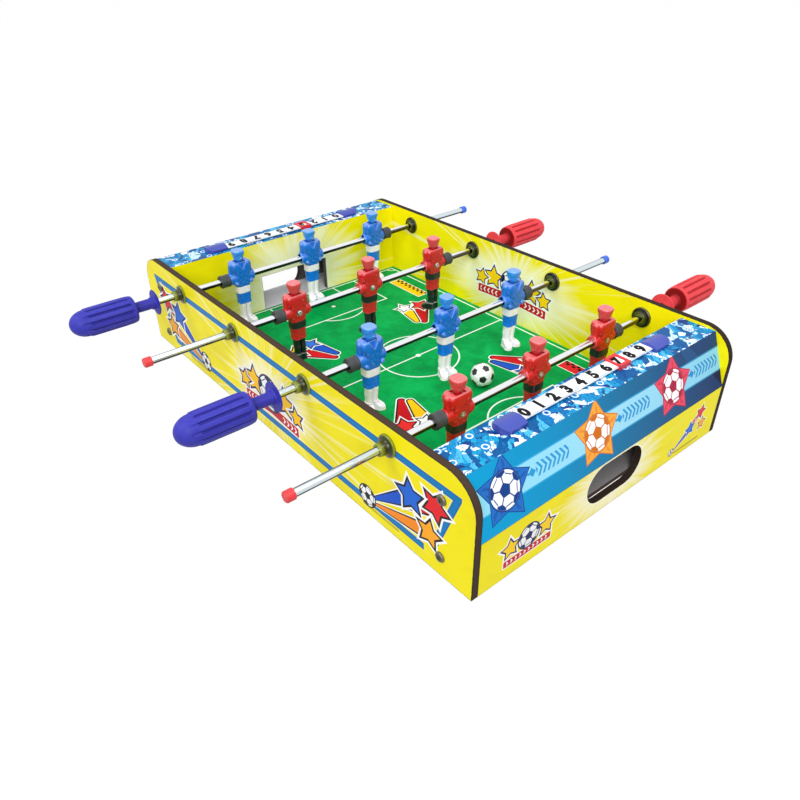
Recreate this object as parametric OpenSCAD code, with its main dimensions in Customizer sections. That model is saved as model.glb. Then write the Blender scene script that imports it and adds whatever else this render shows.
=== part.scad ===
// Tabletop foosball table, 20 inch class, four rods of three players.
// Frame: X runs from goal to goal, Y along the rods, +Z up.
// Left is -X, right is +X, front is -Y, back is +Y.
// Origin: centre of the table footprint, on the surface it stands on.

/* [Cabinet] */
// Overall length of the side panels, goal end to goal end
cabinet_length = 508; // [480:1:560]
// Overall width over the two side panels
cabinet_width = 310; // [300:1:340]
// Height of the side panels
cabinet_height = 100; // [96:1:110]
// Thickness of every cabinet board
board_thick = 6; // [5:0.5:7]
// Radius of the upper corners of the side panels
corner_radius = 29; // [20:1:34]
// Height of the playing surface above the table it stands on
pitch_z = 17; // [15:0.5:19]
// Thickness of the playing board
pitch_thick = 4; // [3:0.5:5]
// Depth of the groove that holds the playing board
groove_depth = 2.5; // [1.5:0.5:3]

/* [Goal ends] */
// Height of the upright end panel, where the sloping board starts
end_height = 50; // [49:1:54]
// Distance from the centre to the inner face of each goal wall
goal_x = 203; // [202:1:206]
// Distance from the centre to the outer edge of each score board
ledge_x = 236; // [234:1:240]
// Height of the top face of the score board
ledge_z = 97; // [95:0.5:98]
// Width of the goal mouth
goal_width = 88; // [76:1:100]
// Height of the goal mouth above the playing surface
goal_height = 40; // [34:1:44]
// Width of the ball slot in the end panel
slot_width = 68; // [60:1:80]
// Height of the ball slot in the end panel
slot_height = 36; // [30:1:36]
// Height of the centre of the ball slot
slot_z = 30; // [28:0.5:31]

/* [Rods] */
// Distance from the centre to each outer rod
rod_outer_x = 165; // [160:1:167]
// Distance from the centre to each inner rod
rod_inner_x = 58; // [52:1:62]
// Height of the rod axes
rod_z = 83; // [82:0.5:84]
// Outer diameter of the rod tube
rod_diameter = 6.4; // [6:0.2:6.8]
// Bore of the rod tube
rod_bore = 4.8; // [4:0.2:5]
// Spacing of the players along a rod
player_pitch = 88; // [84:1:90]
// Outer diameter of the stop rings
ring_diameter = 13.4; // [12:0.2:16]
// Length of a stop ring
ring_length = 10; // [8:0.5:13]

/* [Handles] */
// Distance from the centre plane to the tip of the handle
handle_end = 266; // [258:1:275]
// Distance from the centre plane to the flange of the handle
handle_start = 182.5; // [180:0.5:185]
// Largest diameter of the grip
grip_diameter = 27; // [24:0.5:30]
// Number of flutes round the grip
flutes = 12; // [8:1:14]
// Distance from the centre plane to the tip of the end cap
cap_end = 240; // [236:1:244]

/* [Players] */
// Height from the rod axis to the top of the head
head_up = 29.5; // [29:0.5:33]
// Depth from the rod axis to the sole of the boots
foot_down = 53.2; // [52:0.2:53.4]

/* [Scoring] */
// Spacing of the numbers on the score scale
score_step = 15.6; // [15:0.1:15.6]
// Distance from the centre to the middle of the score scale
score_x = 214.5; // [214:0.5:216]
// Number shown by the marker at the right end
score_right = 7; // [0:1:9]
// Number shown by the marker at the left end
score_left = 3; // [0:1:9]

/* [Ball] */
// Diameter of the ball
ball_diameter = 23; // [21:0.5:26]
// Place of the ball along the table
ball_x = 80; // [78:1:110]
// Place of the ball across the table
ball_y = 29; // [-20:1:40]

/* [Hidden] */
$fn = 48;
// Gap left between boards that are screwed or glued together
gap = 0.05;
// Radial gap of the rod in its bushes and stop rings
run = 0.05;
// Radial gap of the rod in the parts fixed to it
fit = 0.02;
// Length by which a cut passes the face it opens
cut = 1;

// Faces of the side panels and edges of the boards between them
outer_y = cabinet_width/2;
inner_y = outer_y - board_thick;
cross_y = inner_y - gap;
end_x = cabinet_length/2;
rod_radius = rod_diameter/2;

// Rods 1 to 4 from left to right
rods = [-rod_outer_x, -rod_inner_x, rod_inner_x, rod_outer_x];
// Side on which each rod has its handle: -1 front, +1 back
hand = [-1, 1, -1, 1];
// Direction the players of each rod face: +1 towards +X
face = [1, -1, 1, -1];

// Corner battens and the screws that hold them
batten = 14;
batten_z = 0.5;
screw_x = 222;
screw_z = [18, 71];

// ---------- helpers ----------
// A range is [from, to] along one axis.

// range of a given size about a centre
function around(size, centre = 0) = [centre - size/2, centre + size/2];

// range from near to far, measured outwards from the centre on side -1 or +1
function span(side, near, far) = side > 0 ? [near, far] : [-far, -near];

// box that fills three ranges
module box(x, y, z) {
  translate([x[0], y[0], z[0]]) cube([x[1] - x[0], y[1] - y[0], z[1] - z[0]]);
}

// cylinder along Y over a range
module y_cylinder(y, diameter) {
  translate([0, y[0], 0]) rotate([-90, 0, 0]) cylinder(h = y[1] - y[0], d = diameter);
}

// outline in X-Z, extruded along Y over a range
module y_extrude(y) {
  translate([0, y[1], 0]) rotate([90, 0, 0]) linear_extrude(height = y[1] - y[0]) children();
}

// profile of [radius, distance from the centre plane], turned about Y towards one side
module turned(profile, side = 1) {
  rotate([-90*side, 0, 0]) rotate_extrude() polygon(profile);
}

// parts are drawn for the positive side; the negative side is a half turn of it
module turn(side) { rotate([0, 0, side > 0 ? 0 : 180]) children(); }

// ---------- cabinet boards ----------

hole_diameter = 10.4;        // bush holes in the side panels
screw_hole_diameter = 3.4;
pitch_play = 0.3;            // clearance of the playing board in the grooves and notches

// square feet, rounded upper corners
module side_outline() {
  shoulder_z = cabinet_height - corner_radius;
  corner_x = end_x - corner_radius;
  union() {
    translate([-end_x, 0]) square([cabinet_length, shoulder_z]);
    translate([-corner_x, shoulder_z - 1]) square([2*corner_x, corner_radius + 1]);
    for (s = [-1, 1]) translate([s*corner_x, shoulder_z]) circle(r = corner_radius, $fn = 96);
  }
}

module side_panel(side) {
  through = span(side, inner_y - cut, outer_y + cut);
  color("#f0e60a") difference() {
    y_extrude(span(side, inner_y, outer_y)) side_outline();
    for (x = rods) translate([x, 0, rod_z]) y_cylinder(through, hole_diameter);
    // groove for the playing board
    box(around(cabinet_length - 2*board_thick),
        span(side, inner_y - cut, inner_y + groove_depth),
        [pitch_z - pitch_thick - gap, pitch_z + gap]);
    for (x = [-screw_x, screw_x], z = screw_z)
      translate([x, 0, z]) y_cylinder(through, screw_hole_diameter);
  }
}
module side_panel_front() { side_panel(-1); }
module side_panel_back() { side_panel(1); }

// playing board, held in the grooves of the side panels
module playfield_board() {
  color("#0c9a50") difference() {
    box(around(cabinet_length - 2*board_thick - 2*gap),
        around(2*(inner_y + groove_depth - pitch_play)),
        [pitch_z - pitch_thick, pitch_z]);
    // notches round the corner battens
    for (sx = [-1, 1], sy = [-1, 1])
      box(around(batten + 2*pitch_play, sx*screw_x),
          span(sy, inner_y - batten - pitch_play, inner_y + groove_depth + cut),
          [pitch_z - pitch_thick - cut, pitch_z + cut]);
  }
}

// upright end panel with a round-ended ball slot
module end_panel(end) {
  straight = slot_width - slot_height;
  color("#f0e60a") turn(end) difference() {
    box([end_x - board_thick, end_x], around(2*cross_y), [0, end_height]);
    for (sy = [-1, 1]) translate([end_x - board_thick - cut, sy*straight/2, slot_z])
      rotate([0, 90, 0]) cylinder(h = board_thick + 2*cut, d = slot_height);
    box([end_x - board_thick - cut, end_x + cut], around(straight), around(slot_height, slot_z));
  }
}
module end_panel_left() { end_panel(-1); }
module end_panel_right() { end_panel(1); }

// goal wall inside the cabinet, with the goal mouth
module goal_wall(end) {
  color("#f0e60a") turn(end) difference() {
    box([goal_x, goal_x + board_thick], around(2*cross_y),
        [pitch_z + gap, ledge_z - board_thick - gap]);
    box([goal_x - cut, goal_x + board_thick + cut], around(goal_width),
        [pitch_z - cut, pitch_z + goal_height]);
  }
}
module goal_wall_left() { goal_wall(-1); }
module goal_wall_right() { goal_wall(1); }

// sloping board from the end panel up to the score board
module slant_panel(end) {
  run_x = end_x - ledge_x;
  rise = ledge_z - end_height;
  steepness = rise/norm([run_x, rise]);
  mitre_gap = 0.06;
  top_depth = board_thick*1.04;
  foot_width = board_thick*0.95/steepness + 0.35;
  color("#1d6fb0") turn(end) y_extrude(around(2*cross_y))
    polygon([[end_x, end_height + gap],
             [ledge_x + mitre_gap, ledge_z],
             [ledge_x + mitre_gap, ledge_z - top_depth],
             [end_x - foot_width, end_height + gap]]);
}
module slant_panel_left() { slant_panel(-1); }
module slant_panel_right() { slant_panel(1); }

// flat board that carries the score scale
module score_board(end) {
  color("#2a86c8") turn(end) difference() {
    box([goal_x, ledge_x], around(2*cross_y), [ledge_z - board_thick, ledge_z]);
    // holes for the pegs of the score clips
    for (sy = [-1, 1]) translate([clip_x, sy*clip_y, ledge_z - board_thick - cut])
      cylinder(h = board_thick + 2*cut, d = peg_hole_diameter);
  }
}
module score_board_left() { score_board(-1); }
module score_board_right() { score_board(1); }

// square battens in the corners that the screws bite into
module corner_battens() {
  pilot_depth = 11;
  pilot_diameter = 2.3;
  color("#c9a36a") for (sx = [-1, 1], sy = [-1, 1]) difference() {
    box(around(batten, sx*screw_x), span(sy, inner_y - batten, cross_y),
        [batten_z, ledge_z - board_thick - gap]);
    for (z = screw_z) translate([sx*screw_x, 0, z])
      y_cylinder(span(sy, inner_y - pilot_depth, inner_y + cut), pilot_diameter);
  }
}

// round-headed screws, two at each corner
module panel_screws() {
  bite = 10;
  shank_diameter = 2.2;
  head_height = 2.3;
  // [radius, height above the panel]
  head = [[0, gap], [4.4, gap], [4.4, 0.8], [3.6, 1.7], [2, 2.2], [0, head_height]];
  color("#2a2a22") for (sx = [-1, 1], sy = [-1, 1], z = screw_z)
    translate([sx*screw_x, 0, z]) turn(sy) difference() {
      union() {
        translate([0, outer_y, 0]) turned(head);
        y_cylinder([inner_y - bite, outer_y + 0.5], shank_diameter);
      }
      // cross recess
      translate([0, outer_y + head_height, 0])
        for (a = [0, 90]) rotate([0, a, 0]) cube([3.4, 2.4, 0.8], center = true);
    }
}

// ---------- rod bushes ----------

run_radius = rod_radius + run;
barrel_radius = 5.1;

// flanged sleeve pushed through the wall from outside
module bush_sleeve() {
  color("#2b2d20") turned([
    [run_radius, inner_y - 3.8], [barrel_radius - 0.4, inner_y - 3.8],
    [barrel_radius, inner_y - 3.2], [barrel_radius, outer_y + gap],
    [9.4, outer_y + gap], [9.4, outer_y + 1], [8.8, outer_y + 1.7], [6.4, outer_y + 2.4],
    [5.5, outer_y + 3.8], [5.1, outer_y + 8.6], [4.7, outer_y + 9.2],
    [run_radius, outer_y + 9.2]]);
}

// dished nut round the sleeve, on the inside of the wall
module bush_nut() {
  bore_radius = barrel_radius + 0.05;
  color("#1d1e1a") turned([
    [bore_radius, inner_y - gap], [9.8, inner_y - gap], [9.8, inner_y - 1.2],
    [9.1, inner_y - 1.9], [7.5, inner_y - 2], [6.9, inner_y - 3.3],
    [6.4, inner_y - 4.6], [6.1, inner_y - 5], [bore_radius, inner_y - 5]]);
}

module at_bushes(side) { for (x = rods) translate([x, 0, rod_z]) turn(side) children(); }

module bush_sleeves_front() { at_bushes(-1) bush_sleeve(); }
module bush_sleeves_back() { at_bushes(1) bush_sleeve(); }
module bush_nuts_front() { at_bushes(-1) bush_nut(); }
module bush_nuts_back() { at_bushes(1) bush_nut(); }

// ---------- score keeping ----------

rail_z = ledge_z + 1.6;
rail_thick = 1.2;
rail_width = 12.6;
rail_inset = 5;              // from the peg axis of a clip to the end of the scale
clip_x = score_x + 2;        // peg axis of the clips
clip_y = 88.5;
peg_diameter = 4;
peg_hole_diameter = 4.1;

// flat strip of the score scale
module score_rail(end) {
  color("white") turn(end)
    box(around(rail_width, score_x), around(2*(clip_y - rail_inset)),
        [rail_z, rail_z + rail_thick]);
}
module score_rail_left() { score_rail(-1); }
module score_rail_right() { score_rail(1); }

// plan of a clip: square inner end, rounded outer corners
clip_inward = 11;            // from the peg axis to the inner end
clip_round = 6;              // radius of the outer corners
clip_round_x = 2.5;          // corner centres, from the peg axis
clip_round_y = 5;
module clip_outline(side) {
  half_width = clip_round_x + clip_round;
  body_y = span(side, clip_y - clip_inward, clip_y + clip_round_y);
  tip_y = span(side, clip_y, clip_y + clip_round_y + clip_round);
  union() {
    translate([clip_x - half_width, body_y[0]]) square([2*half_width, body_y[1] - body_y[0]]);
    translate([clip_x - clip_round_x, tip_y[0]]) square([2*clip_round_x, tip_y[1] - tip_y[0]]);
    for (s = [-1, 1])
      translate([clip_x + s*clip_round_x, side*(clip_y + clip_round_y)]) circle(r = clip_round);
  }
}

// two holders, pegged into the board, that carry the scale
module score_clips(end) {
  clip_height = 5.6;
  crown_radius = 14;
  color("#555ac0") turn(end) for (sy = [-1, 1]) difference() {
    union() {
      // block with a crowned top
      intersection() {
        translate([0, 0, ledge_z + gap]) linear_extrude(height = clip_height) clip_outline(sy);
        translate([clip_x, 0, ledge_z + clip_height - crown_radius]) rotate([90, 0, 0])
          cylinder(h = 240, r = crown_radius, center = true, $fn = 96);
      }
      translate([clip_x, sy*clip_y, ledge_z - board_thick + 0.5])
        cylinder(h = board_thick, d = peg_diameter);
    }
    // slot for the end of the scale
    box(around(rail_width + 2*gap, score_x),
        span(sy, clip_y - clip_inward - cut, clip_y - rail_inset + 2*gap),
        [rail_z - gap, rail_z + rail_thick + gap]);
  }
}
module score_clips_left() { score_clips(-1); }
module score_clips_right() { score_clips(1); }

// window frame that slides along the scale
module score_marker(end, number) {
  play = 0.06;
  bottom_z = ledge_z + 0.3;
  middle_number = 4.5;
  color("#d8232f") turn(end)
    translate([score_x, (number - middle_number)*score_step, 0]) difference() {
      box(around(15.8), around(13.8), [bottom_z, bottom_z + 3.9]);
      // passage for the scale
      box(around(rail_width + 2*play), around(16),
          [rail_z - play, rail_z + rail_thick + play]);
      // window
      box(around(10.4), around(9.8), [rail_z, rail_z + 6]);
    }
}
module score_marker_left() { score_marker(-1, score_left); }
module score_marker_right() { score_marker(1, score_right); }

// ---------- ball ----------

module ball() {
  float = 0.02;              // gap under the ball
  color("white") translate([ball_x, ball_y, pitch_z + ball_diameter/2 + float])
    sphere(d = ball_diameter, $fn = 64);
}

// ---------- rods ----------

tip_wall = 12;               // from the tip of the handle to the end of the tube
hub_length = 28;             // barrel of a player round the rod
hub_diameter = 11.6;
pin_bore = 2.5;              // cross bore for a player screw

// places a rod part; the part is drawn with its handle towards -Y
module on_rod(rod) {
  translate([rods[rod], 0, rod_z]) mirror([0, hand[rod] > 0 ? 1 : 0, 0]) children();
}

// tube, drilled where the player screws pass
module rod_tube(rod) {
  tube = [tip_wall - handle_end, cap_end - 1.6];
  color("#cfd4da") on_rod(rod) difference() {
    y_cylinder(tube, rod_diameter);
    y_cylinder([tube[0] - cut, tube[1] + cut], rod_bore);
    for (k = [-1, 0, 1]) translate([0, k*player_pitch, 0]) rotate([0, 90, 0])
      cylinder(h = 20, d = pin_bore, center = true, $fn = 24);
  }
}

// fluted grip with a neck and a flange, blind bore for the tube
module rod_handle(rod) {
  start = handle_start;
  radius = grip_diameter/2;
  nose = 15.5;               // length of the domed tip
  flute_diameter = 4.4;
  flute_radius = radius + 1.4; // from the rod axis to a flute axis
  flute = [15 - handle_end, -start - 27.5];
  profile = concat([
      [0, start], [9, start], [12.3, start + 0.3], [12.8, start + 0.9], [12.5, start + 1.7],
      [7.6, start + 2.3], [5.7, start + 3.3], [5.3, start + 5.5], [5.3, start + 18.8],
      [5.7, start + 20.6], [7.8, start + 21.3], [11.2, start + 22.3], [12.6, start + 24],
      [radius - 0.2, start + 26.5], [radius, start + 30], [radius - 0.1, handle_end - 17]],
    [for (a = [0:10:90]) [(radius - 0.7)*cos(a), handle_end - nose + nose*sin(a)]]);
  color(hand[rod] < 0 ? "#4a46cc" : "#e23c42") on_rod(rod) difference() {
    turned(profile, side = -1, $fn = 64);
    // blind bore, a little deeper than the tube reaches
    y_cylinder([tip_wall - handle_end - 0.3, -start + cut], rod_diameter + 2*fit);
    for (k = [0:flutes - 1])
      rotate([0, (k + 0.5)*360/flutes, 0]) translate([flute_radius, 0, 0]) {
        y_cylinder(flute, flute_diameter);
        for (y = flute) translate([0, y, 0]) sphere(d = flute_diameter, $fn = 24);
      }
  }
}

// push-on cap at the free end
module rod_end_cap(rod) {
  bore_radius = rod_radius + fit;
  color(hand[rod] < 0 ? "#2f62d8" : "#e23c42") on_rod(rod) turned([
    [bore_radius, cap_end - 7], [4, cap_end - 7], [4.3, cap_end - 6.6],
    [4.3, cap_end - 0.8], [3.7, cap_end], [0, cap_end],
    [0, cap_end - 1.5], [bore_radius, cap_end - 1.5]]);
}

// two rings outside the outer players
module rod_stop_rings(rod) {
  near = player_pitch + hub_length/2 + 0.2;
  far = near + ring_length;
  radius = ring_diameter/2;
  bevel = 0.7;
  color("#3a3a3c") on_rod(rod) for (s = [1, -1]) turned([
    [run_radius, near], [radius - bevel, near], [radius, near + bevel],
    [radius, far - bevel], [radius - bevel, far], [run_radius, far]], side = s);
}

// ---------- players ----------
// Drawn facing +X, with the rod axis through the origin.

// right half of the front view, from the sole up: [y, z]
figure_half = [
  [8.4, -foot_down], [9.4, -foot_down + 1.4], [9.4, -49], [7.8, -45.6], [6.2, -43],
  [5.6, -41.6], [5.4, -36], [5.8, -28.6], [6.9, -28.4], [7.2, -20], [7.3, -16.6],
  [7.9, -16.4], [8, -8.8], [8.7, -8.4], [10.8, -5.6], [13.3, -3], [13.9, 0.2],
  [13.6, 3], [12.3, 8], [12, 12.6], [11.6, 15.4], [10, 17.4], [6.4, 18.4], [4.4, 18.6]];

// side view: [x, z]; the sole is short enough for the
// players of neighbouring rods to pass each other
figure_side = [
  [-4, -foot_down], [4.8, -foot_down], [8.4, -foot_down + 0.9], [10.6, -foot_down + 2],
  [11.2, -foot_down + 3.4], [9.6, -48.6], [5.4, -45.4], [4.1, -42.6], [3.9, -36],
  [4.4, -28.6], [5.5, -28.4], [5.8, -16.6], [6.5, -16.4], [6.6, -8.8], [6.6, -8.4],
  [7.2, -2], [7.6, 5], [7.4, 12], [6.2, 16.4], [4.2, 18.4],
  [-4.2, 18.4], [-6.2, 16.4], [-7.4, 12], [-7.6, 5], [-6.9, -2], [-6.2, -8.4],
  [-6.4, -8.8], [-6.4, -16.4], [-5.7, -16.6], [-5.4, -28.4], [-4.5, -28.6],
  [-4.3, -43], [-5.2, -46.6], [-5.4, -foot_down + 1.2]];

// neck and head: [radius, z]
head_profile = [
  [0, 12], [4, 12], [3.7, 18.8], [3.9, 19.6], [4.5, 21], [5.1, 22.8], [5.8, 25],
  [6.2, 26.6], [6.35, head_up - 1.6], [5.7, head_up - 0.4], [0, head_up]];

// player screw along X, head at -X: [radius, x]
pin_profile = [
  [0, -7.6], [1.6, -7.4], [2.6, -6.8], [2.7, -5.85], [1.2, -5.85], [1.2, 4.7], [0, 5.3]];

function mirrored(points) =
  [for (i = [len(points) - 1:-1:0]) [-points[i][0], points[i][1]]];

// one player: two outlines crossed, turned head and barrel round the rod
module figure() {
  crotch_z = -34;
  difference() {
    union() {
      intersection() {
        rotate([90, 0, 90]) translate([0, 0, -20]) linear_extrude(height = 40)
          polygon(concat(figure_half, mirrored(figure_half)));
        y_extrude(around(40)) polygon(figure_side);
      }
      rotate_extrude($fn = 32) polygon(head_profile);
      y_cylinder(around(hub_length), hub_diameter);
    }
    y_cylinder(around(hub_length + 2*cut), rod_diameter + 2*fit);
    // gap between the legs
    box(around(24), around(1), [-foot_down - cut, crotch_z]);
    // cross bore for the screw, with a seat for its head
    translate([-12, 0, 0]) rotate([0, 90, 0]) cylinder(h = 17.6, d = pin_bore, $fn = 24);
    translate([-12, 0, 0]) rotate([0, 90, 0]) cylinder(h = 6.2, d = 5.8, $fn = 32);
  }
}

// place -1, 0 or +1 along a rod, turned the way its players face
module at_player(rod, place) {
  translate([rods[rod], place*player_pitch, rod_z]) turn(face[rod]) children();
}

module rod_player(rod, place) {
  color(face[rod] > 0 ? "#3170e0" : "#c81f2a") at_player(rod, place) figure();
}

// small screws, one through each player and the tube
module rod_player_screws(rod) {
  color("silver") for (k = [-1, 0, 1]) at_player(rod, k) difference() {
    rotate([0, 90, 0]) rotate_extrude($fn = 32) polygon(pin_profile);
    // cross recess
    for (a = [0, 90]) rotate([a, 0, 0]) translate([pin_profile[0][1], 0, 0])
      cube([1.4, 2.4, 0.5], center = true);
  }
}

// ---------- parts of each rod ----------

module rod_1_tube() { rod_tube(0); }
module rod_1_handle() { rod_handle(0); }
module rod_1_end_cap() { rod_end_cap(0); }
module rod_1_player_a() { rod_player(0, -1); }
module rod_1_player_b() { rod_player(0, 0); }
module rod_1_player_c() { rod_player(0, 1); }
module rod_1_player_screws() { rod_player_screws(0); }
module rod_1_stop_rings() { rod_stop_rings(0); }
module rod_2_tube() { rod_tube(1); }
module rod_2_handle() { rod_handle(1); }
module rod_2_end_cap() { rod_end_cap(1); }
module rod_2_player_a() { rod_player(1, -1); }
module rod_2_player_b() { rod_player(1, 0); }
module rod_2_player_c() { rod_player(1, 1); }
module rod_2_player_screws() { rod_player_screws(1); }
module rod_2_stop_rings() { rod_stop_rings(1); }
module rod_3_tube() { rod_tube(2); }
module rod_3_handle() { rod_handle(2); }
module rod_3_end_cap() { rod_end_cap(2); }
module rod_3_player_a() { rod_player(2, -1); }
module rod_3_player_b() { rod_player(2, 0); }
module rod_3_player_c() { rod_player(2, 1); }
module rod_3_player_screws() { rod_player_screws(2); }
module rod_3_stop_rings() { rod_stop_rings(2); }
module rod_4_tube() { rod_tube(3); }
module rod_4_handle() { rod_handle(3); }
module rod_4_end_cap() { rod_end_cap(3); }
module rod_4_player_a() { rod_player(3, -1); }
module rod_4_player_b() { rod_player(3, 0); }
module rod_4_player_c() { rod_player(3, 1); }
module rod_4_player_screws() { rod_player_screws(3); }
module rod_4_stop_rings() { rod_stop_rings(3); }

side_panel_front();
side_panel_back();
playfield_board();
end_panel_left();
end_panel_right();
goal_wall_left();
goal_wall_right();
slant_panel_left();
slant_panel_right();
score_board_left();
score_board_right();
corner_battens();
panel_screws();
bush_sleeves_front();
bush_sleeves_back();
bush_nuts_front();
bush_nuts_back();
score_rail_left();
score_rail_right();
score_clips_left();
score_clips_right();
score_marker_left();
score_marker_right();
ball();
rod_1_tube();
rod_1_handle();
rod_1_end_cap();
rod_1_player_a();
rod_1_player_b();
rod_1_player_c();
rod_1_player_screws();
rod_1_stop_rings();
rod_2_tube();
rod_2_handle();
rod_2_end_cap();
rod_2_player_a();
rod_2_player_b();
rod_2_player_c();
rod_2_player_screws();
rod_2_stop_rings();
rod_3_tube();
rod_3_handle();
rod_3_end_cap();
rod_3_player_a();
rod_3_player_b();
rod_3_player_c();
rod_3_player_screws();
rod_3_stop_rings();
rod_4_tube();
rod_4_handle();
rod_4_end_cap();
rod_4_player_a();
rod_4_player_b();
rod_4_player_c();
rod_4_player_screws();
rod_4_stop_rings();
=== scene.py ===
# A table football game: a printed cabinet with four rods of players, their handles, the
# score rails and a ball. X runs along the pitch (right is +X), the front is -Y and Z is
# up from the floor. Sizes are in millimetres unless a line says otherwise.
import bpy
import itertools
import math
import numpy as np
from mathutils import Matrix, Vector


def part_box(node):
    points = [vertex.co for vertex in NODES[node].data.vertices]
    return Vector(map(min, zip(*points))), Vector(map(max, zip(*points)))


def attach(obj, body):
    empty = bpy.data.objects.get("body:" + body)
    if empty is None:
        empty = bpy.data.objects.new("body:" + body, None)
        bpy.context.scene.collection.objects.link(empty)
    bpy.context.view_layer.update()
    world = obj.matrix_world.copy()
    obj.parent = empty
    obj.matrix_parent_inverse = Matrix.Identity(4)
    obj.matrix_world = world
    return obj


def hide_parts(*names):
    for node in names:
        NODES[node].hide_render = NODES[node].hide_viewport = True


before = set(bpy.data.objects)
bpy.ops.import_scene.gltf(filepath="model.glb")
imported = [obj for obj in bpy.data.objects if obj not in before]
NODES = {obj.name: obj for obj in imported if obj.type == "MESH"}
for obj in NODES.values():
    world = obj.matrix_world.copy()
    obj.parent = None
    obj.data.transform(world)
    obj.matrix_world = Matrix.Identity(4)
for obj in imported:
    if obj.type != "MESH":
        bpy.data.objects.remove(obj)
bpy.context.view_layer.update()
MM = 0.001
ENDS = ((-1, "left"), (1, "right"))


def box_mm(name):
    low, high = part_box(name)
    return np.array(low) * 1000.0, np.array(high) * 1000.0


def middle(name):
    low, high = box_mm(name)
    return (low + high) / 2


def size(name):
    low, high = box_mm(name)
    return high - low


# ---------------------------------------------------------------- driving sizes
OUTER_END = 254.0       # |x| of the outer faces of the end panels
BOARD = 6.0             # thickness of the panels
GOAL_FACE = 203.0       # |x| of the goal walls' faces towards the pitch
SIDE_MIDDLE = 152.0     # |y| of the middle of the side panels' thickness
END_TOP = 50.0          # z where the end panels meet the slant panels
LEDGE_TOP = 97.0        # z of the top faces of the score boards
PITCH_TOP = 17.0        # z of the playing surface
SKIN = 0.07             # depth under a face that still counts as printed
SLANT_RUN = 18.0        # how far the slant panels lean in over their rise
SLANT_RISE = LEDGE_TOP - END_TOP

HANDLE_LENGTH = size("rod_1_handle")[1]
GRIP_RADIUS = size("rod_1_handle")[0] / 2
TUBE_RADIUS = size("rod_1_tube")[0] / 2
ROD_Z = middle("rod_1_tube")[2]


# ---------------------------------------------------------------- shader arithmetic
tree = None             # the node tree being built


class Number:
    """A number socket with arithmetic."""

    def __init__(self, socket):
        self.socket = socket

    def __add__(self, other):
        return calc("ADD", self, other)

    def __sub__(self, other):
        return calc("SUBTRACT", self, other)

    def __rsub__(self, other):
        return calc("SUBTRACT", other, self)

    def __mul__(self, other):
        return calc("MULTIPLY", self, other)

    def __rtruediv__(self, other):
        return calc("DIVIDE", other, self)

    def __mod__(self, other):
        return calc("FLOORED_MODULO", self, other)

    def __gt__(self, other):
        return calc("GREATER_THAN", self, other)

    def __abs__(self):
        return calc("ABSOLUTE", self)


def new(kind):
    return tree.nodes.new(kind)


def feed(socket, value):
    """link a socket or Number, or set a plain value"""
    if isinstance(value, Number):
        value = value.socket
    if isinstance(value, bpy.types.NodeSocket):
        tree.links.new(value, socket)
    else:
        socket.default_value = value


def calc(operation, *values, clamp=False):
    node = new("ShaderNodeMath")
    node.operation = operation
    node.use_clamp = clamp
    for socket, value in zip(node.inputs, values):
        feed(socket, value)
    return Number(node.outputs[0])


def most(first, second, *rest):
    """largest value; of distances, the overlap of the shapes"""
    larger = calc("MAXIMUM", first, second)
    return most(larger, *rest) if rest else larger


def least(first, second, *rest):
    """smallest value; of distances, the union of the shapes"""
    smaller = calc("MINIMUM", first, second)
    return least(smaller, *rest) if rest else smaller


def muladd(value, factor, addend, clamp=False):
    return calc("MULTIPLY_ADD", value, factor, addend, clamp=clamp)


def hypot(first, second):
    return calc("SQRT", muladd(first, first, second * second))


def fade(value, start, end):
    """0 at start to 1 at end, held flat beyond"""
    return muladd(value, 1.0 / (end - start), -start / (end - start), clamp=True)


def inside(distance, blur=0.25):
    """mask of a shape from its signed distance"""
    return muladd(distance, -1.0 / blur, 0.5, clamp=True)


def vec(x, y, z=0.0):
    node = new("ShaderNodeCombineXYZ")
    for socket, value in zip(node.inputs, (x, y, z)):
        feed(socket, value)
    return node.outputs[0]


def split(vector):
    node = new("ShaderNodeSeparateXYZ")
    feed(node.inputs[0], vector)
    return [Number(socket) for socket in node.outputs]


def geometry():
    """edge pointiness and the normal's socket"""
    node = new("ShaderNodeNewGeometry")
    return Number(node.outputs["Pointiness"]), node.outputs["Normal"]


def scaled(vector, factor):
    """a vector or colour times a number"""
    node = new("ShaderNodeVectorMath")
    node.operation = "SCALE"
    feed(node.inputs[0], vector)
    feed(node.inputs["Scale"], factor)
    return node.outputs[0]


def noise(vector, scale, detail=2.0, rough=0.5, warp=0.0):
    node = new("ShaderNodeTexNoise")
    node.noise_dimensions = "3D"
    feed(node.inputs["Vector"], vector)
    node.inputs["Scale"].default_value = scale
    node.inputs["Detail"].default_value = detail
    node.inputs["Roughness"].default_value = rough
    node.inputs["Distortion"].default_value = warp
    return Number(node.outputs[0])


def random_cells(vector, scale, metric):
    """channels of a random colour for each Voronoi cell"""
    node = new("ShaderNodeTexVoronoi")
    node.feature = "F1"
    node.distance = metric
    feed(node.inputs["Vector"], vector)
    node.inputs["Scale"].default_value = scale
    node.inputs["Randomness"].default_value = 1.0
    channels = new("ShaderNodeSeparateColor")
    feed(channels.inputs[0], node.outputs["Color"])
    return [Number(socket) for socket in channels.outputs]


def rgb(*levels):
    """linear colour from sRGB levels of 0 to 255"""
    parts = [level / 255.0 for level in levels]
    return tuple(c / 12.92 if c <= 0.04045 else ((c + 0.055) / 1.055) ** 2.4
                 for c in parts) + (1.0,)


def blend(mask, under, top):
    node = new("ShaderNodeMix")
    node.data_type = "RGBA"
    feed(node.inputs[0], mask)
    feed(node.inputs[6], under)
    feed(node.inputs[7], top)
    return node.outputs[2]


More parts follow.
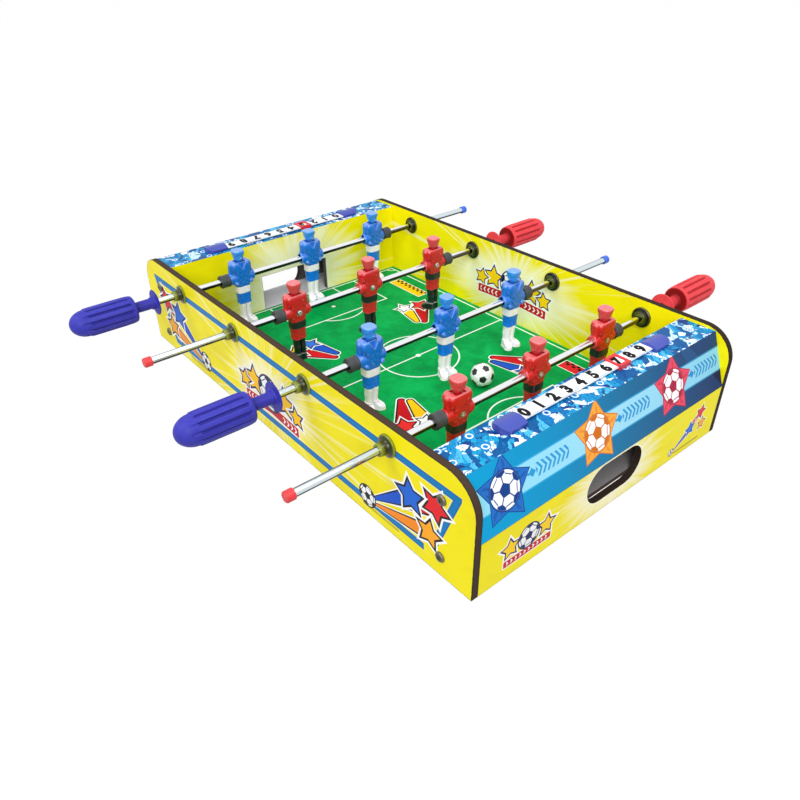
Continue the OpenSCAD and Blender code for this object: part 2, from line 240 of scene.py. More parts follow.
def ramp(value, stops, mode="LINEAR"):
    node = new("ShaderNodeValToRGB")
    color_ramp = node.color_ramp
    color_ramp.interpolation = mode
    while len(color_ramp.elements) < len(stops):
        color_ramp.elements.new(0.5)
    for element, (position, levels) in zip(color_ramp.elements, stops):
        element.position = position
        element.color = rgb(*levels)
    feed(node.inputs[0], value)
    return node.outputs[0]


MATERIALS = {}


def begin(name):
    """start a material; gives x, y, z in mm and their vector"""
    global tree
    material = bpy.data.materials.new(name)
    material.use_nodes = True
    MATERIALS[name] = material
    tree = material.node_tree
    tree.nodes.clear()
    point = scaled(new("ShaderNodeTexCoord").outputs["Object"], 1000.0)
    return *split(point), point


def finish(color, rough, bump=None, metallic=0.0, coat=0.0, spec=0.5, coat_rough=0.1):
    """close a material; bump is a height in mm"""
    output = new("ShaderNodeOutputMaterial")
    shader = new("ShaderNodeBsdfPrincipled")
    for name, value in (("Base Color", color), ("Roughness", rough), ("Metallic", metallic),
                        ("Coat Weight", coat), ("Specular IOR Level", spec),
                        ("Coat Roughness", coat_rough)):
        feed(shader.inputs[name], value)
    if bump is not None:
        node = new("ShaderNodeBump")
        node.inputs["Distance"].default_value = MM
        node.inputs["Strength"].default_value = 1.0
        feed(node.inputs["Height"], bump)
        feed(shader.inputs["Normal"], node.outputs[0])
    feed(output.inputs["Surface"], shader.outputs[0])
    return shader


# ---------------------------------------------------------------- flat shapes
# `at` is a pair of print coordinates; each shape gives a signed distance in mm.
FIFTH = 2 * math.pi / 5
HALF_FIFTH = math.pi / 5
COS, SIN = math.cos(HALF_FIFTH), math.sin(HALF_FIFTH)


def fold_fifths(angle, radius, turn):
    """fold the plane into half of one of five equal sectors"""
    sector = abs((angle - math.radians(turn) + HALF_FIFTH) % FIFTH - HALF_FIFTH)
    return radius * calc("COSINE", sector), radius * calc("SINE", sector)


def star(at, center, radius, turn, waist=0.52):
    """five-pointed star; waist is its inner radius as a share of the outer"""
    angle = calc("ARCTAN2", at[1] - center[1], at[0] - center[0])
    reach = hypot(at[0] - center[0], at[1] - center[1])
    out, side = fold_fifths(angle, reach, turn)
    edge_out, edge_side = radius * waist * COS - radius, radius * waist * SIN
    length = math.hypot(edge_out, edge_side)
    normal_out, normal_side = edge_side / length, -edge_out / length
    return muladd(out, normal_out, side * normal_side) - radius * normal_out


def football_icon(at, center, radius, turn):
    """disc of a football, and its dark patches"""
    across, rise = at[0] - center[0], at[1] - center[1]
    angle = calc("ARCTAN2", rise, across)
    reach = hypot(across, rise)
    out, side = fold_fifths(angle, reach, turn)
    pentagon = muladd(out, COS, side * SIN) - 0.33 * radius
    spoke = most(side - 0.035 * radius, 0.3 * radius - out)
    rim = most(muladd(out, -1.0, side * 0.45) + 0.70 * radius, side - 0.30 * radius)
    link = most(abs(muladd(out, COS, side * SIN) - 0.80 * radius) - 0.03 * radius,
                0.28 * radius - side)
    return reach - radius, least(pentagon, spoke, rim, link)


def taper(at, start, end, start_radius, end_radius):
    """capsule whose radius changes along its length"""
    run, rise = end[0] - start[0], end[1] - start[1]
    square = run * run + rise * rise
    across, up = at[0] - start[0], at[1] - start[1]
    share = muladd(across, run / square, up * (rise / square), clamp=True)
    distance = hypot(across - share * run, up - share * rise)
    return distance - muladd(share, end_radius - start_radius, start_radius)


def box(at, center, half, corner=0.0):
    if corner <= 0:
        return most(abs(at[0] - center[0]) - half[0], abs(at[1] - center[1]) - half[1])
    across = abs(at[0] - center[0]) - (half[0] - corner)
    up = abs(at[1] - center[1]) - (half[1] - corner)
    return hypot(most(across, 0.0), most(up, 0.0)) + least(most(across, up), 0.0) - corner


CREAM, PALE = rgb(249, 244, 205), rgb(246, 238, 150)
NAVY, WHITE, RED = rgb(22, 30, 86), rgb(250, 250, 250), rgb(196, 24, 36)
BLUE, BLACK = rgb(24, 92, 190), rgb(16, 16, 20)
BALL_SHADE = rgb(150, 160, 180)


class Print:
    """A colour that shapes are laid over, one after another."""

    def __init__(self, color):
        self.color = color

    def mix(self, mask, fill):
        self.color = blend(mask, self.color, fill)

    def lay(self, distance, fill, blur=0.25, strength=None):
        mask = inside(distance, blur)
        if strength is not None:
            mask = mask * strength
        self.mix(mask, fill)

    def stars(self, at, ink, rows):
        """rows: place across and up, radius, turn in degrees, line width, fill"""
        for across, up, radius, turn, line, fill in rows:
            distance = star(at, (across, up), radius, turn)
            self.lay(distance - line * 2.0, WHITE)
            self.lay(distance - line, ink)
            self.lay(distance, fill)

    def ball(self, at, center, radius, turn, ink, rim):
        distance, patches = football_icon(at, center, radius, turn)
        self.lay(distance - rim, ink)
        slope = muladd(at[0] - center[0], 0.6, (at[1] - center[1]) * -0.8)
        shade = fade(slope, -radius, radius * 1.6)
        white = blend(shade * 0.35, WHITE, BALL_SHADE)
        disc = inside(distance)
        self.mix(disc, white)
        self.mix(disc * inside(patches), ink)

    def tail(self, at, start, end, layers):
        """layers: radius at the start and end, fill"""
        for start_radius, end_radius, fill in layers:
            self.lay(taper(at, start, end, start_radius, end_radius), fill)

    def ribbon(self, at, center, plates, phase, pitch, tick, reach, ends):
        """red ribbon with a white border and bent white ticks.

        plates: half size and corner radius of the border, then of the ribbon;
        tick, reach: half width and half height of a tick; ends: limits of the row
        """
        for (half, corner), fill in zip(plates, (WHITE, RED)):
            self.lay(box(at, center, half, corner), fill)
        bend = abs(at[1] - center[1]) * 0.8
        ticks = abs((phase + bend) % pitch - pitch / 2) - tick
        self.lay(most(ticks, abs(at[1] - center[1]) - reach, *ends), WHITE)


def sunburst(at, center, glow, reach, seed, rays=8.0):
    """yellow with a cream glow of half size `glow` and pale rays from the centre"""
    across, up = at[0] - center[0], at[1] - center[1]
    radius = hypot(across, up)
    inverse = 1.0 / (radius + 0.5)
    direction = vec(across * inverse, up * inverse, seed)
    broad = noise(direction, rays, detail=3.0, rough=0.65)
    thin = noise(direction, rays * 2.7, detail=1.0)
    length = fade(muladd(thin, reach * 1.5, reach * -0.1) - radius, 0.0, 46.0)
    ray = fade(broad, 0.53, 0.60) * length
    fine_ray = fade(thin, 0.60, 0.66) * fade(reach * 1.1 - radius, 0.0, 60.0)
    oval = hypot(across * (1.0 / glow[0]), up * (1.0 / glow[1]))
    center_glow = fade(1.25 - oval + (broad - 0.5) * 1.3, 0.0, 0.55)
    cloud = noise(vec(at[0] * 0.02, at[1] * 0.035, seed + 3.0), 1.0,
                  detail=3.0, rough=0.6, warp=0.6)
    color = blend(fade(cloud, 0.48, 0.72) * 0.55, rgb(243, 229, 6), rgb(232, 210, 10))
    color = blend(ray * 0.85, color, PALE)
    color = blend(fine_ray * 0.5, color, CREAM)
    return blend(center_glow * 0.92, color, CREAM)


# ---------------------------------------------------------------- board and paper
def board_fibre(point, tone=1.0):
    """bare fibreboard colour and its grain"""
    def toned(*levels):
        return rgb(*(level * tone for level in levels))
    grain = noise(point, 1.1, detail=4.0, rough=0.7)
    patches = noise(point, 0.18)
    color = blend(grain, toned(48, 36, 30), toned(90, 72, 61))
    return blend(fade(patches, 0.4, 0.7) * 0.3, color, toned(70, 56, 48)), grain


def grey_back(grain):
    return blend(grain, rgb(88, 86, 87), rgb(116, 114, 115))


def print_finish(under, printed, mask, grain, point):
    """laminated paper where the mask is 1, bare board elsewhere"""
    color = blend(mask, under, printed)
    peel = noise(point, 0.9)
    scuff = noise(point, 0.055, detail=4.0, rough=0.7)
    rough = muladd(fade(scuff, 0.4, 0.75), 0.14, 0.36) + (peel - 0.5) * 0.08
    height = peel * 0.010
    rough = rough * mask + (1.0 - mask) * 0.75
    height = height * mask + (1.0 - mask) * (grain * 0.10) + mask * 0.04
    finish(scaled(color, muladd(scuff, 0.06, 0.97)), rough, height,
           spec=0.10, coat=mask * 0.03, coat_rough=0.25)


# ---------------------------------------------------------------- cabinet prints
def side_outer(across, z, seed):
    """outer print: frame, emblem, and shooting stars at both ends"""
    at = (across, z)
    art = Print(sunburst(at, (-4.0, 42.0), glow=(62.0, 30.0), reach=200.0, seed=seed))
    # blue frame with a pale inner line, open at one lower corner
    away = abs(across - 4.0)
    cut_corner = muladd(away, 0.93, (z - 80.5) * -0.36) - 216.5
    edge = most(away - 233.0, abs(z - 47.5) - 33.0, cut_corner)
    unbroken = 1.0 - inside(box(at, (214.0, 14.0), (9.5, 8.0))) * 1.0
    art.lay(abs(edge) - 3.4, rgb(6, 96, 168), blur=0.3, strength=unbroken)
    art.lay(abs(edge - 0.2) - 2.1, rgb(0, 120, 186), blur=0.6, strength=unbroken)
    art.lay(abs(edge + 3.6) - 0.5, rgb(250, 246, 190), blur=0.8, strength=unbroken * 0.6)
    # emblem, mirrored about its middle
    away = abs(across + 4.0)
    gold = rgb(250, 196, 16)
    art.stars((away, z), NAVY, ((25.5, 46.0, 14.0, 90.0, 2.0, gold),
                                (43.5, 39.5, 9.5, 100.0, 1.8, gold)))
    art.ribbon((away, z + away * 0.06), (0.0, 26.5),
               plates=(((46.0, 6.2), 1.2), ((44.8, 5.0), 0.8)), phase=away - 2.0,
               pitch=6.0, tick=1.0, reach=3.0, ends=(17.5 - away, away - 42.0))
    art.ball(at, (-4.0, 43.0), 17.0, turn=18.0, ink=NAVY, rim=2.0)
    # shooting stars, mirrored
    half = (abs(across - 2.0), z)
    for start, end, radius, fill in (((139, 20), (213, 59), 8.6, rgb(206, 24, 34)),
                                     ((139, 18), (188, 51), 8.6, rgb(20, 84, 200)),
                                     ((139, 15), (207, 31), 8.0, rgb(246, 140, 26))):
        art.tail(half, start, end, ((1.6, radius + 1.2, WHITE), (1.0, radius, BLACK),
                                    (0.4, radius - 1.7, fill)))
    art.stars(half, BLACK, ((213.5, 60.0, 13.0, 70.0, 1.8, rgb(226, 32, 40)),
                            (187.0, 52.0, 14.0, 100.0, 1.8, rgb(22, 100, 210)),
                            (207.5, 31.5, 12.0, 85.0, 1.8, rgb(250, 168, 32))))
    shadow = box(half, (152.0, 8.5), (22.0, 1.0), corner=1.0)
    art.lay(shadow, rgb(120, 118, 10), blur=2.2, strength=0.7)
    art.ball(half, (136.0, 18.5), 9.5, turn=40.0, ink=BLACK, rim=1.3)
    return art.color


def side_inner(across, z):
    """inner print: the emblem alone"""
    at = (across, z)
    art = Print(sunburst(at, (5.0, 55.0), glow=(95.0, 34.0), reach=230.0, seed=8.0))
    away = abs(across - 4.0)
    gold = rgb(250, 206, 20)
    art.stars((away, z), NAVY, ((27.5, 61.0, 12.5, 90.0, 1.5, gold),
                                (45.5, 56.5, 9.0, 100.0, 1.3, gold)))
    art.ribbon((away, z + away * 0.05), (0.0, 44.5),
               plates=(((51.0, 5.8), 1.2), ((50.0, 4.8), 0.8)), phase=away - 2.0,
               pitch=6.0, tick=0.9, reach=2.8, ends=(17.5 - away, away - 46.5))
    art.ball(at, (4.0, 59.5), 16.0, turn=18.0, ink=NAVY, rim=1.5)
    return art.color


def side_print(side, name, seed, tone):
    """side is -1 at the front, +1 at the back"""
    x, y, z, point = begin("side_print_" + name)
    outer = side_outer(x if side < 0 else x * -1.0, z, seed)
    inner = side_inner(x * -1.0 if side < 0 else x, z)
    depth = y * side
    printed = blend(depth > SIDE_MIDDLE, inner, outer)
    # the print ends a little short of the sawn edge
    fibre, grain = board_fibre(point, tone)
    off_middle = abs(depth - SIDE_MIDDLE)
    edge = most(box((x, z), (0.0, 0.0), (OUTER_END, 100.0), corner=29.0), z * -1.0)
    wear = noise(point, 0.35, detail=3.0, rough=0.7)
    face = off_middle > BOARD / 2 - SKIN
    mask = inside(edge + muladd(wear, 0.9, -0.05), 0.2) * face
    # darker lines where the print wraps over the edge
    fibre = blend(fade(off_middle, 1.7, 2.8) * 0.65, fibre, rgb(44, 32, 26))
    print_finish(fibre, printed, mask, grain, point)


def goal_sunburst(across, z):
    return sunburst((across, z), (0.0, 40.0), glow=(78.0, 62.0), reach=150.0,
                    seed=11.0, rays=7.0)


def goal_print(end, name):
    x, y, z, point = begin("goal_wall_print_" + name)
    across = y * -end
    art = Print(goal_sunburst(across, z))
    hole = box((across, z), (0.0, 36.0), (44.0, 21.0))
    art.lay(hole - 3.2, rgb(250, 246, 226), blur=1.2, strength=0.8)
    fibre, grain = board_fibre(point)
    back = blend(grain, rgb(176, 176, 180), rgb(210, 210, 212))
    outward = x * end
    front = inside(outward - (GOAL_FACE + 0.08), 0.04)
    wear = noise(point, 0.4, detail=3.0, rough=0.7)
    mask = front * (1.0 - inside(hole - 0.10 - wear * 0.35, 0.15))
    core = inside(outward - (GOAL_FACE + BOARD - 0.1), 0.05)
    under = blend(core, back, blend(0.55, fibre, rgb(120, 116, 116)))
    print_finish(under, art.color, mask, grain, point)


def end_print(end, name):
    x, y, z, point = begin("end_print_" + name)
    across = y * end
    at = (across, z)
    art = Print(sunburst(at, (0.0, 26.0), glow=(52.0, 30.0), reach=92.0,
                         seed=15.0, rays=9.0))
    # emblem at the left
    gold = rgb(250, 206, 20)
    art.stars(at, NAVY, ((-118.5, 27.0, 8.5, 95.0, 1.3, gold),
                         (-80.5, 27.0, 8.5, 85.0, 1.3, gold)))
    art.ribbon(at, (-99.5, 13.5), plates=(((26.0, 4.0), 1.0), ((25.1, 3.1), 0.8)),
               phase=across + 99.5, pitch=4.6, tick=0.7, reach=1.7,
               ends=(abs(across + 99.5) - 22.0,))
    art.ball(at, (-99.5, 27.5), 10.5, turn=18.0, ink=NAVY, rim=1.3)
    # shooting stars at the right
    art.tail(at, (86, 9), (120, 34), ((0.4, 4.4, WHITE), (0.2, 3.5, RED)))
    art.tail(at, (86, 8), (108, 22), ((0.4, 4.2, WHITE), (0.2, 3.3, BLUE)))
    art.stars(at, BLACK, ((121.0, 35.0, 7.0, 75.0, 0.7, rgb(226, 40, 46)),
                          (108.5, 23.0, 7.0, 100.0, 0.7, rgb(34, 110, 214)),
                          (127.0, 21.0, 6.0, 85.0, 0.7, rgb(250, 168, 40))))
    shadow = box(at, (108.0, 6.0), (19.0, 0.8), corner=0.8)
    art.lay(shadow, rgb(110, 108, 10), blur=1.6, strength=0.8)
    art.ball(at, (84.0, 9.0), 3.6, turn=40.0, ink=BLACK, rim=0.5)
    slot = box(at, (0.0, 30.0), (34.0, 18.0), corner=18.0)
    art.lay(slot - 1.6, rgb(252, 248, 214), blur=0.5)
    fibre, grain = board_fibre(point, 0.62)
    outward = x * end
    outer = 1.0 - inside(outward - (OUTER_END - SKIN), 0.04)
    wear = noise(point, 0.4, detail=3.0, rough=0.7)
    edge = most(slot * -1.0, box(at, (0.0, 25.0), (148.9, 24.95)))
    mask = outer * inside(edge + muladd(wear, 0.5, -0.05), 0.15)
    back = inside(outward - (OUTER_END - BOARD + 0.1), 0.05)
    under = blend(back, fibre, grey_back(grain))
    print_finish(under, art.color, mask, grain, point)


def slant_print(end, name):
    x, y, z, point = begin("slant_print_" + name)
    across, outward = y * end, x * end
    # `up` climbs the slope from the end panel's top; `out` is the height off its face
    slope = math.hypot(SLANT_RUN, SLANT_RISE)
    up = muladd(outward, -SLANT_RUN / slope, (z - END_TOP) * (SLANT_RISE / slope)) \
        + OUTER_END * SLANT_RUN / slope
    out = muladd(outward, SLANT_RISE / slope, (z - END_TOP) * (SLANT_RUN / slope)) \
        - OUTER_END * SLANT_RISE / slope
    share = fade(across, -155.0, 155.0)
    art = Print(ramp(share, [(0.0, (4, 152, 204)), (0.30, (14, 132, 180)),
                             (0.5, (24, 108, 152)), (0.78, (30, 72, 116)),
                             (1.0, (10, 38, 86))]))
    band = ramp(share, [(0.0, (134, 208, 232)), (0.5, (150, 208, 230)),
                        (1.0, (128, 196, 222))])
    # navy facets at the far end, and a paler one
    high = most(108.0 - across + (49.6 - up) * 0.95, 37.0 - up)
    low = most(137.5 - across + (14.0 - up) * 0.85, up - 16.5)
    art.lay(least(high, low), rgb(4, 22, 66))
    pale = most(96.0 - across + (49.6 - up) * 0.5, 37.0 - up)
    art.lay(pale, rgb(40, 96, 150), blur=0.4, strength=0.35)
    # pale band along the middle
    art.lay(abs(up - 26.7) - 11.0, rgb(60, 176, 228), blur=0.5, strength=0.55)
    art.lay(abs(up - 26.7) - 9.9, band)
    # medallions one pitch apart with chevrons between them
    pitch = 99.0
    place_in = (across + 149.0) % pitch - 30.0
    count = calc("FLOOR", (across + 149.0) * (1.0 / pitch))
    off = abs(up - 26.7)
    blue = ramp(share, [(0.0, (40, 148, 206)), (1.0, (40, 132, 190))])
    chevron = abs((place_in + off * 0.75) % 4.9 - 2.45) - 1.15
    art.lay(most(chevron, off - 5.2, 31.0 - place_in, place_in - 66.0), blue)
    art.lay(most(off - 0.9, 22.0 - place_in, place_in - 29.0), blue)
    art.lay(most(off - 3.4 + abs(place_in - 27.0) * 0.9, abs(place_in - 27.0) - 4.0), blue)
    # beyond the third medallion the shapes are pushed out of sight
    beyond = fade(count, 2.4, 2.6)
    body = ramp(count * 0.4 + 0.1, [(0.0, (34, 104, 186)), (0.3, (240, 160, 62)),
                                    (0.7, (222, 72, 96))], "CONSTANT")
    dark = ramp(count * 0.4 + 0.1, [(0.0, (18, 60, 130)), (0.3, (196, 104, 22)),
                                    (0.7, (160, 32, 60))], "CONSTANT")
    at = (place_in, up)
    badge = star(at, (0.0, 26.0), 25.5, turn=84.0, waist=0.60) + beyond * 60.0
    art.lay(badge - 0.7, dark)
    art.lay(badge, body)
    # twenty rays: 3.1831 turns radians into twentieths of a circle
    ray = abs(calc("ARCTAN2", up - 26.0, place_in) * 3.1831 % 1.0 - 0.5)
    art.mix(inside(badge + 1.6) * inside(ray - 0.22, 0.06) * 0.45, dark)
    disc, patches = football_icon(at, (0.0, 26.0), 14.0, turn=24.0)
    disc = disc + beyond * 60.0
    art.lay(disc - 1.1, dark)
    shade = fade(muladd(place_in, 0.6, (up - 26.0) * -0.8), -14.0, 24.0)
    art.mix(inside(disc), blend(shade * 0.3, WHITE, BALL_SHADE))
    art.mix(inside(disc) * inside(patches), dark)
    fibre, grain = board_fibre(point)
    mask = 1.0 - inside(out + 0.09, 0.05)
    under = blend(inside(out + 3.5), grey_back(grain), fibre)
    print_finish(under, art.color, mask, grain, point)


def camouflage(across, along, point):
    """broken blue and white pattern"""
    warp = noise(point, 0.06)
    large = vec(muladd(across, 0.86, along * 0.5) + warp * 22.0,
                muladd(across, -0.5, along * 0.86) * 0.28 + warp * 8.0, 0.3)
    large_cell = random_cells(large, 0.17, "MANHATTAN")[0]
    color = ramp(large_cell, [(0.0, (8, 84, 142)), (0.22, (16, 136, 190)),
                              (0.48, (74, 176, 222)), (0.66, (10, 112, 172)),
                              (0.82, (24, 152, 200)), (0.93, (196, 228, 242))], "CONSTANT")
    small = vec(muladd(across, 0.64, along * -0.77) + warp * 18.0,
                muladd(across, 0.77, along * 0.64) * 0.34, 4.3)
    small_cell = random_cells(small, 0.25, "CHEBYCHEV")[1]
    patch = fade(noise(point, 0.10, rough=0.6), 0.51, 0.53)
    pieces = ramp(small_cell, [(0.0, (244, 250, 252)), (0.27, (12, 120, 174)),
                               (0.46, (228, 240, 246)), (0.60, (28, 154, 200)),
                               (0.80, (12, 54, 122))], "CONSTANT")
    color = blend(patch * (large_cell > 0.2), color, pieces)
    streak = noise(vec(muladd(across, 0.42, along * 0.25), along * 0.09 - across * 0.03, 7.0),
                   1.0, rough=0.6)
    return blend(inside(abs(streak - 0.5) - 0.014, 0.01) * 0.9, color, rgb(10, 46, 112))


def ledge_print(end, name):
    x, y, z, point = begin("ledge_print_" + name)
    across, outward = y * end, x * end
    art = Print(camouflage(across, outward, point))
    # small rings scattered on a grid
    grid_x, grid_y = (across + 7.0) % 31.0 - 15.5, (outward + 3.0) % 15.5 - 7.8
    row = calc("FLOOR", (across + 7.0) * (1.0 / 31.0))
    shift = row * 7.3 % 5.0 - 2.5
    ring = abs(hypot(grid_x - shift, grid_y + shift * 0.6) - 2.4) - 0.55
    art.lay(ring - 0.7, rgb(30, 120, 206))
    art.lay(ring, rgb(226, 240, 252))
    wall = goal_sunburst(y * -end, z)
    fibre, grain = board_fibre(point)
    top = 1.0 - inside(z - (LEDGE_TOP - SKIN), 0.04)
    wear = noise(point, 0.4, detail=3.0, rough=0.7)
    edge = box((y, outward), (0.0, 219.5), (149.0, 16.5))
    inset = inside(edge + muladd(wear, 0.5, -0.15), 0.15)
    mask = most(top * inset, inside(outward - (GOAL_FACE + 0.09), 0.04))
    print_finish(fibre, blend(top, wall, art.color), mask, grain, point)


def pitch_lines(x, y):
    """distance to the middle of the nearest white line"""
    far_x, far_y = abs(x), abs(y)
    goal_line, touch_line = 199.0, 143.5
    box_front = 128.5
    spot_x = 152.5
    away_x, away_y = abs(x + 3.5), abs(y - 20.0)
    lines = abs(most(far_x - goal_line, far_y - touch_line))
    center = hypot(away_x, away_y)
    lines = least(lines, away_x, abs(center - 42.7), center - 2.0)
    for front, half_width in ((box_front, 61.0), (174.5, 29.0)):
        area = abs(most(front - away_x, away_y - half_width))
        lines = least(lines, most(area, far_x - goal_line))
    spot = hypot(away_x - spot_x, away_y) - 1.6
    arc = most(abs(hypot(away_x - spot_x, away_y) - 37.0), away_x - box_front)
    lines = least(lines, spot, arc)
    corner = abs(hypot(far_x - goal_line, far_y - touch_line) - 8.0)
    lines = least(lines, most(corner, far_x - goal_line, far_y - touch_line))
    return most(lines, far_x - (goal_line + 0.8), far_y - (touch_line + 0.7))


def pitch_print():
    x, y, z, point = begin("pitch_print")
    broad = noise(point, 0.035, detail=3.0, rough=0.65, warp=0.4)
    small = noise(point, 0.22, rough=0.6)
    squares = noise(vec(calc("SNAP", x, 13.0), calc("SNAP", y + x * 0.0, 13.0), 0.0),
                    0.11, detail=1.0)
    art = Print(blend(fade(broad, 0.36, 0.66), rgb(0, 142, 68), rgb(8, 168, 82)))
    art.mix(fade(small, 0.5, 0.8) * 0.3, rgb(34, 176, 94))
    art.mix(fade(squares, 0.5, 0.62) * 0.35, rgb(0, 124, 58))
    # two tailed stars in each quarter; diagonal quarters share their colours
    swap = abs(fade(x * 0.05, -0.5, 0.5) - fade(y * 0.05, -0.5, 0.5))
    at = (abs(x + 3.5), abs(y - 14.0))
    first = blend(swap, rgb(206, 30, 38), rgb(196, 26, 36))
    second = blend(swap, rgb(34, 84, 190), rgb(246, 196, 24))
    for start, end, radius, fill in (((54, 62), (86, 84), 9.6, first),
                                     ((60, 56), (92, 66), 8.6, second)):
        art.tail(at, start, end, ((5.2, radius + 1.1, rgb(240, 244, 240)),
                                  (4.1, radius, BLACK), (2.6, radius - 1.5, fill)))
    first = blend(swap, rgb(246, 200, 30), rgb(232, 50, 50))
    second = blend(swap, rgb(60, 120, 220), rgb(250, 250, 250))
    art.stars(at, BLACK, ((88.0, 86.0, 11.5, 60.0, 1.4, first),
                          (94.0, 66.0, 9.0, 80.0, 1.3, second)))
    # checked ribbons near the corners
    ribbon = box(at, (134.5, 107.0), (27.0, 7.4))
    art.lay(ribbon - 0.9, WHITE)
    art.lay(ribbon, blend(swap, rgb(214, 40, 50), rgb(246, 200, 30)))
    check = 1 / 3.7
    checks = (calc("FLOOR", at[0] * check) + calc("FLOOR", at[1] * check)) % 2.0
    art.mix(inside(most(ribbon, 107.5 - at[1])) * checks, BLACK)
    art.lay(pitch_lines(x, y) - 0.8, blend(small, rgb(236, 246, 240), WHITE),
            blur=0.35, strength=0.95)
    # unprinted board beyond the goal walls
    fibre, grain = board_fibre(point)
    bare = blend(grain, rgb(226, 226, 230), rgb(248, 248, 250))
    bare = Print(blend(x > GOAL_FACE, bare,
                       blend(grain, rgb(116, 114, 114), rgb(146, 144, 144))))
    bare.lay(abs(x) - (GOAL_FACE - 0.1), art.color)
    mask = 1.0 - inside(z - (PITCH_TOP - SKIN), 0.04)
    fine = noise(point, 2.2, rough=0.6)
    finish(blend(mask, fibre, bare.color), muladd(fine, 0.12, 0.42),
           muladd(fine, 0.012, mask * 0.03), spec=0.03, coat=mask * 0.01, coat_rough=0.25)


side_print(-1, "front", seed=1.0, tone=0.9)
side_print(1, "back", seed=5.0, tone=0.62)
for end, name in ENDS:
    goal_print(end, name)
    end_print(end, name)
    slant_print(end, name)
    ledge_print(end, name)
pitch_print()


# ---------------------------------------------------------------- plastics and metals
def team(name, head, shirt, belt, shorts, legs, rim, top_sheen):
    """painted player, coloured by height from the rod's axis"""
    x, y, z, point = begin(name)
    height = z + noise(point, 0.5) * 0.25
    fine = noise(point, 1.8, detail=3.0, rough=0.6)
    flow = noise(point, 0.12, detail=3.0, rough=0.6, warp=0.6)
    art = Print(blend(fade(height, 18.3, 18.8), shirt, head))
    for drop, fill in ((8.75, belt), (16.4, shorts), (28.45, legs)):
        art.lay(height + drop, fill, blur=0.2)
    # painted highlight line round the boot tops; on the blue team's white legs it shows as a
    # grey line
    art.lay(abs(height + 45.3) - 0.35, rim, blur=0.3, strength=0.75)
    # worn edges, painted shade in the hollows, painted sheen on what faces up, small chips
    pointiness, normal = geometry()
    art.mix(fade(pointiness, 0.51, 0.58) * 0.28, rgb(235, 238, 245))
    # painted shade darkening the hollows
    art.mix(fade(pointiness, 0.49, 0.42) * 0.5, blend(0.8, art.color, BLACK))
    art.mix(fade(flow, 0.4, 0.75) * 0.12, BLACK)
    # painted sheen: lighter colour on the up-facing surfaces above the chest
    art.mix(fade(split(normal)[2], 0.35, 0.9) * fade(height, 9.0, 13.0) * 0.30, top_sheen)
    chip = fade(noise(point, 0.9, detail=4.0, rough=0.7), 0.73, 0.75) \
        * fade(pointiness, 0.505, 0.53)
    art.mix(chip * 0.12, rgb(222, 224, 230))
    finish(art.color, muladd(fine, 0.14, 0.24), fine * 0.02 + flow * 0.04,
           coat=0.3, coat_rough=0.12)


# the rim colour paints the highlight line at the boot tops; the last colour is a painted sheen
# on what faces up
team("player_blue", head=rgb(42, 138, 232), shirt=rgb(10, 108, 206), belt=rgb(240, 236, 242),
     shorts=rgb(0, 114, 226), legs=rgb(250, 248, 255), rim=rgb(206, 204, 214),
     top_sheen=rgb(160, 176, 232))
team("player_red", head=rgb(212, 62, 70), shirt=rgb(192, 10, 20), belt=rgb(24, 25, 29),
     shorts=rgb(196, 20, 28), legs=rgb(20, 20, 24), rim=rgb(150, 158, 160),
     top_sheen=rgb(244, 150, 150))


def plastic(name, base, edge_wear_and_glint, deep, rough, coat, wear, grain, spec, handle_shade=None):
    """moulded plastic: fine grain, flow marks, paler edges for wear and painted glint, painted
    shade in the hollows
    """
    x, y, z, point = begin(name)
    flow = noise(point, 0.09, detail=3.0, rough=0.6, warp=0.8)
    fine = noise(point, grain, detail=3.0, rough=0.6)
    pointiness, _ = geometry()
    art = Print(blend(fade(flow, 0.35, 0.7) * 0.30, rgb(*base), rgb(*deep)))
    # paler edges: wear, and on the bushes and nuts a painted olive glint
    art.mix(fade(pointiness, 0.505, 0.56) * wear, rgb(*edge_wear_and_glint))
    # painted shade darkening the hollows
    art.mix(fade(pointiness, 0.495, 0.44) * 0.35, rgb(*deep))
    if handle_shade:
        # painted shade on the neck and flat inner end of a handle, then in its grooves
        neck = fade(y, 1.0, 3.0) * fade(y, 22.6, 21.9) * 0.30 \
            + fade(y, 17.0, 21.6) * fade(y, 22.6, 22.1) * 0.65
        art.mix(neck, rgb(*handle_shade))
        grooves = fade(hypot(x, z), GRIP_RADIUS - 0.5, GRIP_RADIUS - 1.3) \
            * fade(y, 24.5, 26.0) * fade(y, HANDLE_LENGTH - 15.8, HANDLE_LENGTH - 17.0)
        art.mix(grooves * 0.6, rgb(*handle_shade))
    rough = muladd(fade(fine, 0.3, 0.7), 0.10, rough - 0.05) + fade(flow, 0.4, 0.8) * 0.06
    finish(art.color, rough, fine * 0.018 + flow * 0.05, coat=coat, spec=spec,
           coat_rough=0.15)
